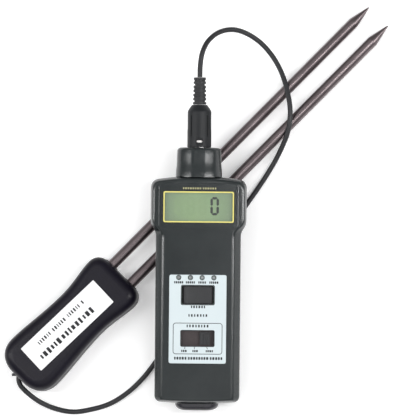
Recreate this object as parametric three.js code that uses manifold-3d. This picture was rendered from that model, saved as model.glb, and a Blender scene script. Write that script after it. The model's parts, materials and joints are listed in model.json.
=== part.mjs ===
// Grain moisture meter: a hand-held meter with its lead plugged in, and a two-rod probe.
// Millimetres, +Z up. The object lies on the plane z = 0: the probe rests on its handle and its rod
// tips, the meter leans on the nearer rod, and x = y = 0 is the middle of the footprint.
import * as THREE from 'three';
import { mergeVertices } from 'three/addons/utils/BufferGeometryUtils.js';
import Module from 'manifold-3d';

const wasm = await Module();
wasm.setup();

// ---------------------------------------------------------------- driving dimensions

const GAP = 0.3; // clearance between pieces that seat on each other
const CUT = 1; // how far a cutting body runs past the face it opens

// layout of the two halves on the table
const METER_AT = new THREE.Vector2(-1.1, -125.15); // middle of the meter's bottom end
const METER_TURN = -0.7; // degrees, about the vertical
const PROBE_AT = new THREE.Vector2(-116.7, -109.15); // middle of the handle's rear end
const PROBE_TURN = 44.8; // degrees, about the vertical
const MAX_LEAN = 30; // degrees, the most that the meter could lean on the rod

// meter case: x across, y from the bottom end to the head, z from the back face to the front face
const CASE_LENGTH = 147;
const GRIP_WIDTH = 55;
const HEAD_WIDTH = 62;
const HEAD_START = 118.5; // where the head reaches its full width
const SHOULDER_START = 107.3; // where the grip starts to widen
const HEAD_RISE = 3; // how far the arched top stands over its corners
const CASE_THICK = 26;
const CASE_ROUND = 3.6; // rounding of the long edges
const HEAD_CORNER = 5.4;
const FOOT_CORNER = 4;
const WALL = 2.4;
const SPLIT = CASE_THICK / 2; // height of the seam between the shells

// window and display
const WINDOW_Y = 126.6;
const WINDOW_WIDTH = 45.8;
const WINDOW_HEIGHT = 20.4;
const WINDOW_LEDGE = 1.9; // width of the ledge that the lens rests on
const WINDOW_CORNER = 1.2;
const LENS_THICK = 1.2;
const LENS_SINK = 0.2; // depth of the lens below the front face
const GLASS_WIDTH = 46.4;
const GLASS_HEIGHT = 21.4;
const GLASS_THICK = 2.5;
const HOLDER_WALL = 1.3;
const GLASS_CORNER = 0.4;
const ZEBRA_WIDTH = 40;
const ZEBRA_DEPTH = 2;

// label panel and what comes through it
const LABEL_WIDTH = 36.8;
const LABEL_HEIGHT = 57;
const LABEL_Y = 54.5;
const LABEL_THICK = 0.6;
const LABEL_CORNER = 1.2;
const LABEL_RECESS = LABEL_THICK + GAP;
const BUTTON_Y = 70;
const BUTTON_WIDTH = 17.8;
const BUTTON_HEIGHT = 10.5;
const BUTTON_MARGIN_X = 1.5; // gap between the button and the side of its opening
const BUTTON_MARGIN_Y = 0.75;
const BUTTON_PROUD = 1.5;
const BUTTON_TRAVEL = 1.2;
const BUTTON_FLANGE = 1.2; // how far the flange reaches under the front wall
const FLANGE_THICK = 1;
const KEY_CORNER = 0.8; // corner radius of the button, the slot and their openings
const SLOT_Y = 42.1;
const SLOT_WIDTH = 21.2;
const SLOT_HEIGHT = 9.9;
const KNOB_WIDTH = 6.7;
const KNOB_HEIGHT = 8.4;
const KNOB_REST_X = 4.7;
const KNOB_STEP = 5.8;
const KNOB_STEPS = 2;
const KNOB_PROUD = 0.5;
const KNOB_STEM_WIDTH = 4;
const KNOB_STEM_HEIGHT = 4;
const SHUTTER_THICK = 0.9;
const SHUTTER_OVERLAP = 0.7; // how far the shutter always reaches past the slot
const LEVER_SIZE = 2;
const LEVER_LENGTH = 2.4;
const LEVER_BITE = 1; // how far the lever reaches into the knob
const LAMP_COUNT = 4;
const LAMP_PITCH = 7.54;
const LAMP_FIRST_X = -12.4;
const LAMP_Y = 81.2;
const LAMP_RADIUS = 1.2;
const LAMP_DOME = 0.3; // how far a lamp's end stands over the front face
const PUSH_HALF = 3; // half the width of the tactile switch under the button
const PUSH_PLUNGER = 0.8;
const PUSH_PLUNGER_RADIUS = 1.6;
const SWITCH_HALF = 3; // half the height of the slide switch, seen from the front
const SWITCH_WALL = 2;

// circuit board
const BOARD_DEPTH = 9.2; // from the front face to the board's underside
const BOARD_THICK = 1.6;
const BOARD_WIDTH = 47;
const BOARD_START = 27;
const BOARD_HEADROOM = 6; // from the board's upper end to the case's length
const BOARD_PARTS = [ // x, y, width, length and height of each soldered block
  [-13, 96, 6, 4, 2.2],
  [10, 99, 4, 10, 1.6],
  [-12, 85.5, 4, 3, 1],
  [0, 31.5, 8, 3, 1.4],
];
const BOARD_CANS = [[13, 60, 2.2, 3.6], [-13, 60, 1.8, 3.2]]; // x, y, radius and height
const CHIP_SIZE = 12;
const CHIP_Y = 95;
const CHIP_THICK = 1.6;
const SOLDER_SINK = 0.1; // how deep a soldered part's foot lies in its board
const BOARD_POSTS = [[18, 31], [-18, 90]];
const BOARD_RESTS = [[-18, 31], [18, 90]];
const CASE_POST_X = 22.3;
const UPPER_POST_Y = 104;
const POST_RADIUS = 2.6;
const SCREW_POST_RADIUS = 4;
const SCREW_RADIUS = 1.2;
const SCREW_HEAD_RADIUS = 2.4;
const SCREW_HEAD_THICK = 1.3;
const SCREW_SINK = 1; // depth of a case screw's head below the back face
const SCREW_BITE = 5; // length of thread in the front post

// battery bay
const CELL_COUNT = 4;
const CELL_RADIUS = 5.25;
const CELL_LENGTH = 44.5;
const CELL_NUB_RADIUS = 1.9;
const CELL_NUB = 1.2;
const CELL_EDGE = 0.6; // chamfer at a cell's ends
const CELL_PITCH = 2 * CELL_RADIUS + 0.2;
const CELL_SIDE = 0.6; // room beside the outer cells
const BAY_START = 6.5;
const BAY_WALL = 1.4;
const CONTACT_THICK = 0.5;
const CONTACT_MARGIN = 1; // how much smaller than a cell a contact's half width is
const SPRING_LENGTH = 3.4;
const SPRING_RADIUS = 2.6;
const SPRING_WIRE = 0.35;
const SPRING_TURNS = 2.5;
const SPRING_TAPER = 0.3; // share of its radius that a spring loses towards the cell
const DOOR_THICK = 2;
const DOOR_RAIL = 0.9; // thickness of the rails that hold the door
const DOOR_LIP = 1; // how far the door's lips reach behind the rails
const DOOR_HALF = 21;
const DOOR_SILL = 5.1; // how far the door reaches past the bay's inner end
const RIB_COUNT = 5; // finger grooves in the door
const RIB_START = 14;
const RIB_PITCH = 3;
const RIB_WIDTH = 1.2;
const RIB_HALF = 9;
const RIB_DEPTH = 0.5;

// collar, socket and bottom plug
const COLLAR_LENGTH = 18.4;
const COLLAR_WIDTH = 28.6;
const COLLAR_DEPTH = 23;
const COLLAR_ROUND = 2.4;
const COLLAR_FOOT_WIDTH = 30;
const COLLAR_FOOT_DEPTH = 25;
const COLLAR_FOOT = 5.4;
const SOCKET_RADIUS = 6.2;
const SOCKET_INSET = 1; // depth of the nut's face behind the head's end wall
const SOCKET_NUT = 2; // how far the nut stands out, and its thickness
const SOCKET_TAG_HALF = 1; // half the width of the solder tag behind the socket
const SOCKET_TAG_LENGTH = 4;
const SOCKET_TAG_THICK = 0.8;
const OVAL_EASE = 0.5; // how much smaller than half the depth the collar's corner radius is
const PIN_RADIUS = 1.5;
const PIN_REACH = 6; // how far the plug's pin reaches into the socket body
const FOOT_PLUG_WIDTH = 28;
const FOOT_PLUG_DEPTH = 13;
const FOOT_PLUG_PROUD = 4.4;
const FOOT_PLUG_ROUND = 3.6;
const FOOT_PLUG_NECK = 3;
const FOOT_PLUG_RIM = 3; // how far the plug's head reaches past its neck
const FOOT_NECK_CORNER = 3;

// plug and strain relief, on the meter's long axis
const PLUG_WALL = 1.55; // the plug shell's wall round its skirt
const PLUG_LENGTH = 24.7;
const PLUG_SHOULDER = 2.6;
const SKIRT_LENGTH = 11;
const SKIRT_WALL = 0.8;
const SKIRT_TAIL = 4; // how far the skirt reaches into the plug shell
const RELIEF_RADIUS = 4.35;
const RELIEF_TIP_RADIUS = 4;
const RELIEF_LENGTH = 18.5;
const RELIEF_RIBS = 7;
const RELIEF_GROOVE = 0.9;
const RELIEF_RIB_SHARE = 0.6; // share of the ribs' pitch that a rib takes
const PLUG_SCREW_Y = 3.6; // from the plug shell's front end
const PLUG_SCREW_RADIUS = 1.9;
const PLUG_SCREW_THICK = 0.8;
const PLUG_SCREW_SLOT = 0.5; // width of the slot, and a little more than its depth
const PLUG_EDGE = 0.5; // chamfer at the plug shell's front end
const CORE_SINK = 6; // depth of the plug's core behind the skirt's end
const CORD_RADIUS = 1.65;

// probe: x from the handle's rear end to the rod tips, z from the back of the handle to its face
const HANDLE_LENGTH = 94.8;
const LOBE_HALF = 20.4;
const WAIST_HALF = 17.6;
const REAR_LOBE_X = 14.5;
const WAIST_BACK = 35.8; // from the handle's front end to its waist
const FRONT_LOBE_BACK = 8.8; // from the handle's front end to its wider front lobe
const LOBE_EASE = 0.3; // share of the way to the waist that a lobe stays straight
const WAIST_EASE = 0.4;
const END_EASE = 0.6;
const HANDLE_STEPS = 5; // straight pieces in each curve of the outline
const REAR_FLAT_HALF = 5;
const FRONT_FLAT_HALF = 11;
const HANDLE_THICK = 22;
const HANDLE_ROUND = 6;
const HANDLE_WALL = 2.2;
const HANDLE_LABEL_LENGTH = 64.8;
const HANDLE_LABEL_WIDTH = 19.6;
const HANDLE_LABEL_OFF = 0.6; // how far the sticker's middle lies behind the handle's
const HANDLE_LABEL_TURN = -1.6; // degrees: the sticker sits slightly askew
const HANDLE_LABEL_THICK = 0.4;
const ROD_RADIUS = 3.5;
const ROD_HALF_SPACING = 8.7;
const ROD_OUT = 237; // length of rod in front of the handle
const ROD_TAPER = 14.5;
const ROD_POINT = 0.4; // radius of the blunted point
const ROD_BITE = 36.8; // length of rod inside the handle
const STUD_RADIUS = 2;
const STUD_LENGTH = 9;
const BUSH_WALL = 1.4;
const BUSH_LENGTH = 9;
const CARRIER_LENGTH = 12;
const CARRIER_BACK = 32.8; // from the handle's front end to the rod carrier
const CARRIER_WIDTH = 28;
const CARRIER_THICK = 13;
const NUT_RADIUS = 3.6;
const NUT_THICK = 2.4;
const FRONT_POST_BACK = 15.8; // from the handle's front end to the screw post between the rods
const REAR_POST_X = 17;
const REAR_POST_Y = 13;
const HANDLE_SCREW_BITE = 4;
const SENSOR_START = 12;
const SENSOR_MARGIN = 7; // between the sensor board and the rods' studs
const SENSOR_WIDTH = 17.2;
const SENSOR_UNDER = 6.4;
const SENSOR_REST_RADIUS = 1.5;
const REST_INSET = 2; // from a board's side to the middle of the post under it
const CARRIER_REST_RADIUS = 2;
const BUSH_PROUD = 0.3;
const BUSH_SEAT_WALL = 1.6; // the handle's wall round each bush
const GROMMET_RADIUS = 3.6;
const GROMMET_FLANGE = 4.6;
const GROMMET_FLANGE_THICK = 1.6;
const LEAD_ANGLE = 45; // degrees between the lead's exit and the handle's axis
const LEAD_INSIDE = 15; // length of lead inside the handle
const NOTCH_DEPTH = 3;
const NOTCH_HALF = 5.4;

// free cord: chosen points, in the frame of the whole object
const CORD_STEPS = 78;
const CORD_SIDES = 8;
const CORD_POINTS = [
  [5.34, 83.63, 32.58],
  [5.6, 90.7, 32.9],
  [6.9, 99.2, 32.6],
  [9.9, 106.5, 30.2],
  [14.6, 111.9, 26.4],
  [20.5, 115.1, 22],
  [27.1, 115.8, 17.6],
  [34.4, 113.4, 13.8],
  [41.9, 108.4, 10.8],
  [48.2, 101.6, 9.2],
  [53.4, 93.5, 9],
  [57.4, 84.3, 10.2],
  [60.3, 73.7, 12],
  [61.7, 64.6, 12.9],
  [61.3, 55.5, 12.6],
  [59.5, 47.9, 10.9],
  [55.8, 39.8, 7.8],
  [50.8, 31, 4.4],
  [44.7, 21.5, 2.5],
  [38.1, 11.9, 1.9],
  [30.3, 1, 1.9],
  [20.5, -14.5, 1.9],
  [10.1, -31.2, 1.9],
  [-0.3, -48.6, 1.9],
  [-10.1, -67.3, 1.9],
  [-20.2, -86, 1.9],
  [-29.6, -100.8, 1.9],
  [-38.1, -111.1, 1.9],
  [-47.5, -119.4, 1.9],
  [-58.6, -126, 1.9],
  [-70.7, -129.5, 1.9],
  [-82.7, -131, 2],
  [-94.6, -128.7, 3.1],
  [-104.2, -124.3, 5.9],
  [-110.1, -119.8, 9.5],
  [-113.4, -116.5, 12.1],
  [-115.6, -113.5, 13.6],
  [-116.45, -110.3, 13.94],
  [-116.44, -108.1, 13.89],
];

// ---------------------------------------------------------------- materials

const plastic = (color, roughness = 0.6) => new THREE.MeshStandardMaterial({ color, roughness, metalness: 0 });
const metal = (color, roughness = 0.35) => new THREE.MeshStandardMaterial({ color, roughness, metalness: 1 });

const CASE_PLASTIC = () => plastic(0x3e4444, 0.55);
const DARK_PLASTIC = () => plastic(0x24262a, 0.5);
const HANDLE_PLASTIC = () => plastic(0x201c28, 0.5);
const BLACK_RUBBER = () => plastic(0x121214, 0.65);
const WHITE_SHEET = () => plastic(0xe8f0f4, 0.4);
const STEEL = () => metal(0xc4c0c2, 0.25);
const BRASS = () => metal(0xd0b060, 0.3);
const BOARD_GREEN = () => plastic(0x1f5a38, 0.5);

// ---------------------------------------------------------------- helpers

const degrees = (angle) => THREE.MathUtils.degToRad(angle);

/** A closed three.js geometry as a solid that can be joined and cut. */
function solid(geometry) {
  const bare = geometry.clone();
  bare.deleteAttribute('normal');
  bare.deleteAttribute('uv');
  const merged = mergeVertices(bare, 1e-4);
  return new wasm.Manifold(new wasm.Mesh({
    numProp: 3,
    vertProperties: new Float32Array(merged.attributes.position.array),
    triVerts: new Uint32Array(merged.index.array),
  }));
}

/** A solid back as a three.js geometry. */
function geometryOf(body) {
  const { vertProperties, triVerts } = body.getMesh();
  const geometry = new THREE.BufferGeometry();
  geometry.setAttribute('position', new THREE.BufferAttribute(vertProperties, 3));
  geometry.setIndex(new THREE.BufferAttribute(triVerts, 1));
  return geometry;
}

/** The solid of base with all of tools cut away. */
function cutAway(base, tools) {
  return tools.reduce((body, tool) => body.subtract(tool), base);
}

/** The solid of base joined with all of extras. */
function joined(base, extras) {
  return extras.reduce((body, extra) => body.add(extra), base);
}

function named(name, geometry, material) {
  const mesh = new THREE.Mesh(geometry, material);
  mesh.name = name;
  return mesh;
}

/** A box between two corners. */
function block(low, high) {
  const size = high.map((value, axis) => value - low[axis]);
  const box = new THREE.BoxGeometry(...size);
  return box.translate(...low.map((value, axis) => value + size[axis] / 2));
}

function roundedRect(width, height, radius) {
  const x = width / 2;
  const y = height / 2;
  const shape = new THREE.Shape();
  shape.moveTo(-x + radius, -y);
  shape.lineTo(x - radius, -y);
  shape.absarc(x - radius, -y + radius, radius, -Math.PI / 2, 0);
  shape.lineTo(x, y - radius);
  shape.absarc(x - radius, y - radius, radius, 0, Math.PI / 2);
  shape.lineTo(-x + radius, y);
  shape.absarc(-x + radius, y - radius, radius, Math.PI / 2, Math.PI);
  shape.lineTo(-x, -y + radius);
  shape.absarc(-x + radius, -y + radius, radius, Math.PI, 1.5 * Math.PI);
  return shape;
}

/** A shape extruded from one height to another, along z. */
function slab(shape, from, to, curveSegments = 2) {
  const plate = new THREE.ExtrudeGeometry(shape, { depth: to - from, bevelEnabled: false, curveSegments });
  return plate.translate(0, 0, from);
}

/** A flat plate with rounded corners, centred on x = 0 and the given y. */
function plateAt(y, width, height, radius, from, to) {
  return slab(roundedRect(width, height, radius), from, to).translate(0, y, 0);
}

/** A shape extruded along z with rounded edges at both ends; inset shrinks it all round. */
function pillow(shape, from, to, round, { inset = 0, curveSegments = 4, bevelSegments = 2 } = {}) {
  const body = new THREE.ExtrudeGeometry(shape, {
    depth: to - from - 2 * round,
    bevelEnabled: true,
    bevelThickness: round,
    bevelSize: round,
    bevelOffset: -round - inset,
    bevelSegments,
    curveSegments,
  });
  return body.translate(0, 0, from + round);
}

/** An upright cylinder from one height to another, along z. */
function post(x, y, radius, from, to, sides = 12) {
  const cylinder = new THREE.CylinderGeometry(radius, radius, to - from, sides);
  return cylinder.rotateX(Math.PI / 2).translate(x, y, (from + to) / 2);
}

/** A solid of revolution about the y axis, from (radius, y) points that start and end on the axis. */
function turned(points, sides = 16) {
  return new THREE.LatheGeometry(points.map(([radius, y]) => new THREE.Vector2(radius, y)), sides);
}

/** A tube about the y axis. */
function ring(outer, inner, from, to, sides = 16) {
  return turned([[inner, from], [outer, from], [outer, to], [inner, to], [inner, from]], sides);
}

/** A round bar about the y axis. */
function bar(radius, from, to, sides = 16) {
  return turned([[0, from], [radius, from], [radius, to], [0, to]], sides);
}

/** A regular polygon section, for tubes that follow a curve. */
function section(radius, sides) {
  const corners = Array.from({ length: sides }, (_, corner) => {
    const angle = (2 * Math.PI * corner) / sides;
    return new THREE.Vector2(radius * Math.cos(angle), radius * Math.sin(angle));
  });
  return new THREE.Shape(corners);
}

function tubeAlong(curve, radius, sides, steps) {
  return new THREE.ExtrudeGeometry(section(radius, sides), { steps, bevelEnabled: false, extrudePath: curve });
}

/** Numbered screws, one at each place: the head starts at headZ and the shank ends length above it. */
function screws(name, places, headZ, length) {
  return places.map(([x, y], index) => {
    const head = post(x, y, SCREW_HEAD_RADIUS, headZ, headZ + SCREW_HEAD_THICK);
    const shank = post(x, y, SCREW_RADIUS, headZ, headZ + length, 8);
    return named(`${name}_${index + 1}`, geometryOf(solid(head).add(solid(shank))), STEEL());
  });
}

// ---------------------------------------------------------------- meter: levels that several pieces share

const FRONT = CASE_THICK;
const FRONT_INNER = CASE_THICK - WALL;
const LABEL_FLOOR = FRONT - LABEL_RECESS;
const LENS_FLOOR = FRONT - LENS_SINK - LENS_THICK - GAP;
const BOARD_UNDER = FRONT - BOARD_DEPTH;
const BOARD_END = CASE_LENGTH - BOARD_HEADROOM;
const BOARD_TOP = BOARD_UNDER + BOARD_THICK;
const CELL_Z = DOOR_THICK + 2 * GAP + CELL_RADIUS;
const BAY_HALF = (CELL_COUNT * CELL_PITCH) / 2 + CELL_SIDE / 2;
const BAY_CEILING = CELL_Z + CELL_RADIUS + GAP;
const CELL_START = BAY_START + CONTACT_THICK + SPRING_LENGTH + 3 * GAP;
const CELL_END = CELL_START + CELL_LENGTH;
const BAY_END = CELL_END + CONTACT_THICK + 2 * GAP;
const DOOR_END = BAY_END + DOOR_SILL;
const CASE_POSTS = [DOOR_END + SCREW_POST_RADIUS, UPPER_POST_Y].flatMap((y) => [[CASE_POST_X, y], [-CASE_POST_X, y]]);
const GLASS_TOP = FRONT_INNER - GAP;
const GLASS_UNDER = GLASS_TOP - GLASS_THICK;
const FLANGE_TOP = FRONT_INNER - GAP;
const BUTTON_UNDER = FLANGE_TOP - FLANGE_THICK;
const SHUTTER_TOP = FRONT_INNER - GAP;
const SHUTTER_UNDER = SHUTTER_TOP - SHUTTER_THICK;
const SWITCH_TOP = SHUTTER_UNDER - GAP;
const KNOB_TRAVEL = KNOB_STEP * KNOB_STEPS;

const cellX = (index) => (index - (CELL_COUNT - 1) / 2) * CELL_PITCH;
const lampX = (index) => LAMP_FIRST_X + index * LAMP_PITCH;

/** The case's outline, seen from the front: straight grip, shoulders, head with an arched top. */
function caseOutline(inset = 0) {
  const foot = inset;
  const grip = GRIP_WIDTH / 2 - inset;
  const head = HEAD_WIDTH / 2 - inset;
  const corner = CASE_LENGTH - HEAD_RISE - inset;
  const bend = (HEAD_START - SHOULDER_START) / 2;
  const shape = new THREE.Shape();
  shape.moveTo(-grip + FOOT_CORNER, foot);
  shape.lineTo(grip - FOOT_CORNER, foot);
  shape.absarc(grip - FOOT_CORNER, foot + FOOT_CORNER, FOOT_CORNER, -Math.PI / 2, 0);
  shape.lineTo(grip, SHOULDER_START);
  shape.bezierCurveTo(grip, SHOULDER_START + bend, head, HEAD_START - bend, head, HEAD_START);
  shape.lineTo(head, corner - HEAD_CORNER);
  shape.quadraticCurveTo(head, corner, head - HEAD_CORNER, corner + HEAD_RISE / 4);
  shape.quadraticCurveTo(0, corner + 1.5 * HEAD_RISE, -head + HEAD_CORNER, corner + HEAD_RISE / 4);
  shape.quadraticCurveTo(-head, corner, -head, corner - HEAD_CORNER);
  shape.lineTo(-head, HEAD_START);
  shape.bezierCurveTo(-head, HEAD_START - bend, -grip, SHOULDER_START + bend, -grip, SHOULDER_START);
  shape.lineTo(-grip, foot + FOOT_CORNER);
  shape.absarc(-grip + FOOT_CORNER, foot + FOOT_CORNER, FOOT_CORNER, Math.PI, 1.5 * Math.PI);
  return shape;
}

const caseBlank = pillow(caseOutline(), 0, CASE_THICK, CASE_ROUND);
const caseCavity = pillow(caseOutline(WALL), WALL, FRONT_INNER, CASE_ROUND - WALL / 2);

/** Half of the hollow case: everything between two heights. */
function shell(from, to) {
  const span = 2 * CASE_LENGTH;
  const keep = solid(block([-span, -span, from], [span, span, to]));
  return solid(caseBlank).subtract(solid(caseCavity)).intersect(keep);
}

/** The hole through which the socket's neck leaves the head. */
function socketHole() {
  return solid(bar(SOCKET_RADIUS + GAP, CASE_LENGTH - 2 * WALL - HEAD_RISE, CASE_LENGTH + CUT).translate(0, 0, SPLIT));
}

/** The bottom plug's neck, or with a margin, the hole that it fills, between two places along y. */
function footNeck(margin, from, to) {
  const outline = roundedRect(FOOT_PLUG_WIDTH - 2 * FOOT_PLUG_RIM + 2 * margin,
    FOOT_PLUG_DEPTH - 2 * FOOT_PLUG_RIM + 2 * margin, FOOT_NECK_CORNER + margin);
  return solid(slab(outline, from, to, 4).rotateX(-Math.PI / 2).translate(0, 0, SPLIT));
}

const footHole = () => footNeck(GAP, -CUT, WALL + CUT);

/** The openings for the select button and for the switch's knob. */
function keyOpenings(from, to) {
  return [
    plateAt(BUTTON_Y, BUTTON_WIDTH + 2 * BUTTON_MARGIN_X, BUTTON_HEIGHT + 2 * BUTTON_MARGIN_Y, KEY_CORNER, from, to),
    plateAt(SLOT_Y, SLOT_WIDTH, SLOT_HEIGHT, KEY_CORNER, from, to),
  ];
}

/** The holes for the lamps, from a height up through the front face. */
function lampHoles(from) {
  return Array.from({ length: LAMP_COUNT }, (_, index) => (
    solid(post(lampX(index), LAMP_Y, LAMP_RADIUS + GAP, from, FRONT + CUT, 10))));
}

function frontCase() {
  const bodyPosts = CASE_POSTS.map(([x, y]) => solid(post(x, y, POST_RADIUS, SPLIT + GAP, FRONT_INNER + CUT)));
  const boardPosts = [...BOARD_POSTS, ...BOARD_RESTS].map(([x, y]) => (
    solid(post(x, y, POST_RADIUS, BOARD_TOP + GAP, FRONT_INNER + CUT))));
  const bodyBores = CASE_POSTS.map(([x, y]) => (
    solid(post(x, y, SCREW_RADIUS + GAP, 0, SPLIT + SCREW_BITE + 2 * GAP, 8))));
  const boardBores = BOARD_POSTS.map(([x, y]) => (
    solid(post(x, y, SCREW_RADIUS + GAP, 0, BOARD_TOP + SCREW_BITE - 2 * GAP, 8))));
  const lensSeat = plateAt(WINDOW_Y, WINDOW_WIDTH + 2 * GAP, WINDOW_HEIGHT + 2 * GAP, WINDOW_CORNER + GAP,
    LENS_FLOOR, FRONT + CUT);
  const window = plateAt(WINDOW_Y, WINDOW_WIDTH - 2 * WINDOW_LEDGE, WINDOW_HEIGHT - 2 * WINDOW_LEDGE, WINDOW_CORNER,
    FRONT_INNER - CUT, FRONT);
  const labelSeat = plateAt(LABEL_Y, LABEL_WIDTH + 2 * GAP, LABEL_HEIGHT + 2 * GAP, LABEL_CORNER + GAP,
    LABEL_FLOOR, FRONT + CUT);
  const [buttonHole, knobSlot] = keyOpenings(FRONT_INNER - CUT, FRONT);
  const body = joined(shell(SPLIT + GAP / 2, CASE_THICK), [...bodyPosts, ...boardPosts]);
  const openings = [lensSeat, window, labelSeat, buttonHole, knobSlot].map(solid);
  return named('front_case', geometryOf(cutAway(body,
    [...openings, ...bodyBores, ...boardBores, ...lampHoles(FRONT_INNER - CUT), socketHole(), footHole()])), CASE_PLASTIC());
}

/** The space that the door fills, or with a margin, the rebate that it slides in. */
function doorBlank(margin) {
  const plate = block([-DOOR_HALF - margin, -CUT, -CUT], [DOOR_HALF + margin, DOOR_END + margin, DOOR_THICK + margin]);
  const lip = DOOR_HALF + DOOR_LIP + margin;
  const lips = block([-lip, -CUT, DOOR_RAIL + GAP - margin], [lip, DOOR_END + margin, DOOR_THICK + margin]);
  return solid(plate).add(solid(lips));
}

function rearCase() {
  const bayWalls = block([-BAY_HALF - BAY_WALL, BAY_START - BAY_WALL, WALL / 2],
    [BAY_HALF + BAY_WALL, BAY_END + BAY_WALL, BAY_CEILING + BAY_WALL]);
  const posts = CASE_POSTS.map(([x, y]) => solid(post(x, y, SCREW_POST_RADIUS, WALL / 2, SPLIT - GAP / 2)));
  const withinCase = solid(caseBlank);
  const body = joined(shell(0, SPLIT - GAP / 2), [solid(bayWalls), ...posts]).intersect(withinCase);
  const bay = solid(block([-BAY_HALF, BAY_START, -CUT], [BAY_HALF, BAY_END, BAY_CEILING]));
  const headSeats = CASE_POSTS.map(([x, y]) => (
    solid(post(x, y, SCREW_HEAD_RADIUS + GAP, -CUT, SCREW_SINK + SCREW_HEAD_THICK + GAP))));
  const bores = CASE_POSTS.map(([x, y]) => solid(post(x, y, SCREW_RADIUS + GAP, -CUT, SPLIT + CUT, 8)));
  const cuts = [bay, doorBlank(GAP), ...headSeats, ...bores, socketHole(), footHole()];
  return named('rear_case', geometryOf(cutAway(body, cuts)), CASE_PLASTIC());
}

function batteryDoor() {
  const gripRibs = Array.from({ length: RIB_COUNT }, (_, index) => {
    const start = RIB_START + RIB_PITCH * index;
    return solid(block([-RIB_HALF, start, -CUT], [RIB_HALF, start + RIB_WIDTH, RIB_DEPTH]));
  });
  const plate = doorBlank(0).intersect(solid(caseBlank));
  return named('battery_door', geometryOf(cutAway(plate, gripRibs)), CASE_PLASTIC());
}

function batteryCell(index) {
  const profile = [
    [0, 0],
    [CELL_RADIUS - CELL_EDGE, 0],
    [CELL_RADIUS, CELL_EDGE],
    [CELL_RADIUS, CELL_LENGTH - CELL_NUB - CELL_EDGE],
    [CELL_RADIUS - CELL_EDGE, CELL_LENGTH - CELL_NUB],
    [CELL_NUB_RADIUS, CELL_LENGTH - CELL_NUB],
    [CELL_NUB_RADIUS, CELL_LENGTH],
    [0, CELL_LENGTH],
  ];
  const cell = turned(profile, 12).translate(cellX(index), CELL_START, CELL_Z);
  return named(`battery_${index + 1}`, cell, plastic(0x8a6a30, 0.35));
}

/** A coil spring along y, closing a little towards the cell. */
class SpringCurve extends THREE.Curve {
  getPoint(t, target = new THREE.Vector3()) {
    const angle = 2 * Math.PI * SPRING_TURNS * t;
    const radius = SPRING_RADIUS * (1 - SPRING_TAPER * t);
    const rise = t * (SPRING_LENGTH - SPRING_WIRE);
    return target.set(radius * Math.cos(angle), rise, radius * Math.sin(angle));
  }
}

/** A contact plate that spans the cells from first to last. */
function contactPlate(first, last, start) {
  const half = CELL_RADIUS - CONTACT_MARGIN;
  return block([cellX(first) - half, start, CELL_Z - half], [cellX(last) + half, start + CONTACT_THICK, CELL_Z + half]);
}

/** The contacts at the cells' foot, each joining two cells, with a spring for each. */
function springContacts() {
  const start = BAY_START + GAP;
  return [0, 2].map((first, index) => {
    const springs = [first, first + 1].map((cell) => (
      solid(tubeAlong(new SpringCurve(), SPRING_WIRE, 5, 20).translate(cellX(cell), start + CONTACT_THICK, CELL_Z))));
    const body = joined(solid(contactPlate(first, first + 1, start)), springs);
    return named(`spring_contact_${index + 1}`, geometryOf(body), STEEL());
  });
}

/** The contacts at the cells' head: two terminals and the plate that joins the middle cells. */
function plateContacts() {
  return [[0, 0], [1, 2], [3, 3]].map(([first, last], index) => (
    named(`plate_contact_${index + 1}`, contactPlate(first, last, CELL_END + GAP), STEEL())));
}

function displayPieces() {
  const lens = plateAt(WINDOW_Y, WINDOW_WIDTH, WINDOW_HEIGHT, WINDOW_CORNER, LENS_FLOOR + GAP, FRONT - LENS_SINK);
  const glass = plateAt(WINDOW_Y, GLASS_WIDTH, GLASS_HEIGHT, GLASS_CORNER, GLASS_UNDER, GLASS_TOP);
  const holderLow = BOARD_TOP + GAP;
  const opening = plateAt(WINDOW_Y, GLASS_WIDTH + 2 * GAP, GLASS_HEIGHT + 2 * GAP, GLASS_CORNER,
    holderLow - CUT, FRONT);
  const holder = solid(plateAt(WINDOW_Y, GLASS_WIDTH + 2 * (GAP + HOLDER_WALL), GLASS_HEIGHT + 2 * (GAP + HOLDER_WALL),
    GLASS_CORNER + HOLDER_WALL, holderLow, GLASS_TOP)).subtract(solid(opening));
  const zebraY = WINDOW_Y - GLASS_HEIGHT / 2 + ZEBRA_DEPTH;
  const strip = block([-ZEBRA_WIDTH / 2, zebraY - ZEBRA_DEPTH / 2, BOARD_TOP + GAP],
    [ZEBRA_WIDTH / 2, zebraY + ZEBRA_DEPTH / 2, GLASS_UNDER - GAP]);
  const clear = new THREE.MeshStandardMaterial({ color: 0xd8e8d0, roughness: 0.1, transparent: true, opacity: 0.3 });
  return [
    named('display_lens', lens, clear),
    named('lcd_glass', glass, plastic(0x93b877, 0.3)),
    named('lcd_holder', geometryOf(holder), DARK_PLASTIC()),
    named('zebra_strip', strip, plastic(0xc8c4b4, 0.7)),
  ];
}

function labelPanel() {
  const low = LABEL_FLOOR + GAP;
  const sheet = solid(plateAt(LABEL_Y, LABEL_WIDTH, LABEL_HEIGHT, LABEL_CORNER, low, low + LABEL_THICK));
  const keys = keyOpenings(low - CUT, FRONT + CUT).map(solid);
  return named('label_panel', geometryOf(cutAway(sheet, [...lampHoles(low - CUT), ...keys])), WHITE_SHEET());
}

function selectButton() {
  const cap = plateAt(BUTTON_Y, BUTTON_WIDTH, BUTTON_HEIGHT, KEY_CORNER, BUTTON_UNDER, FRONT + BUTTON_PROUD);
  const flange = plateAt(BUTTON_Y, BUTTON_WIDTH + 2 * (BUTTON_MARGIN_X + BUTTON_FLANGE),
    BUTTON_HEIGHT + 2 * (BUTTON_MARGIN_Y + BUTTON_FLANGE), KEY_CORNER, BUTTON_UNDER, FLANGE_TOP);
  return named('select_button', geometryOf(solid(cap).add(solid(flange))), plastic(0x4a464c, 0.5));
}

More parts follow.
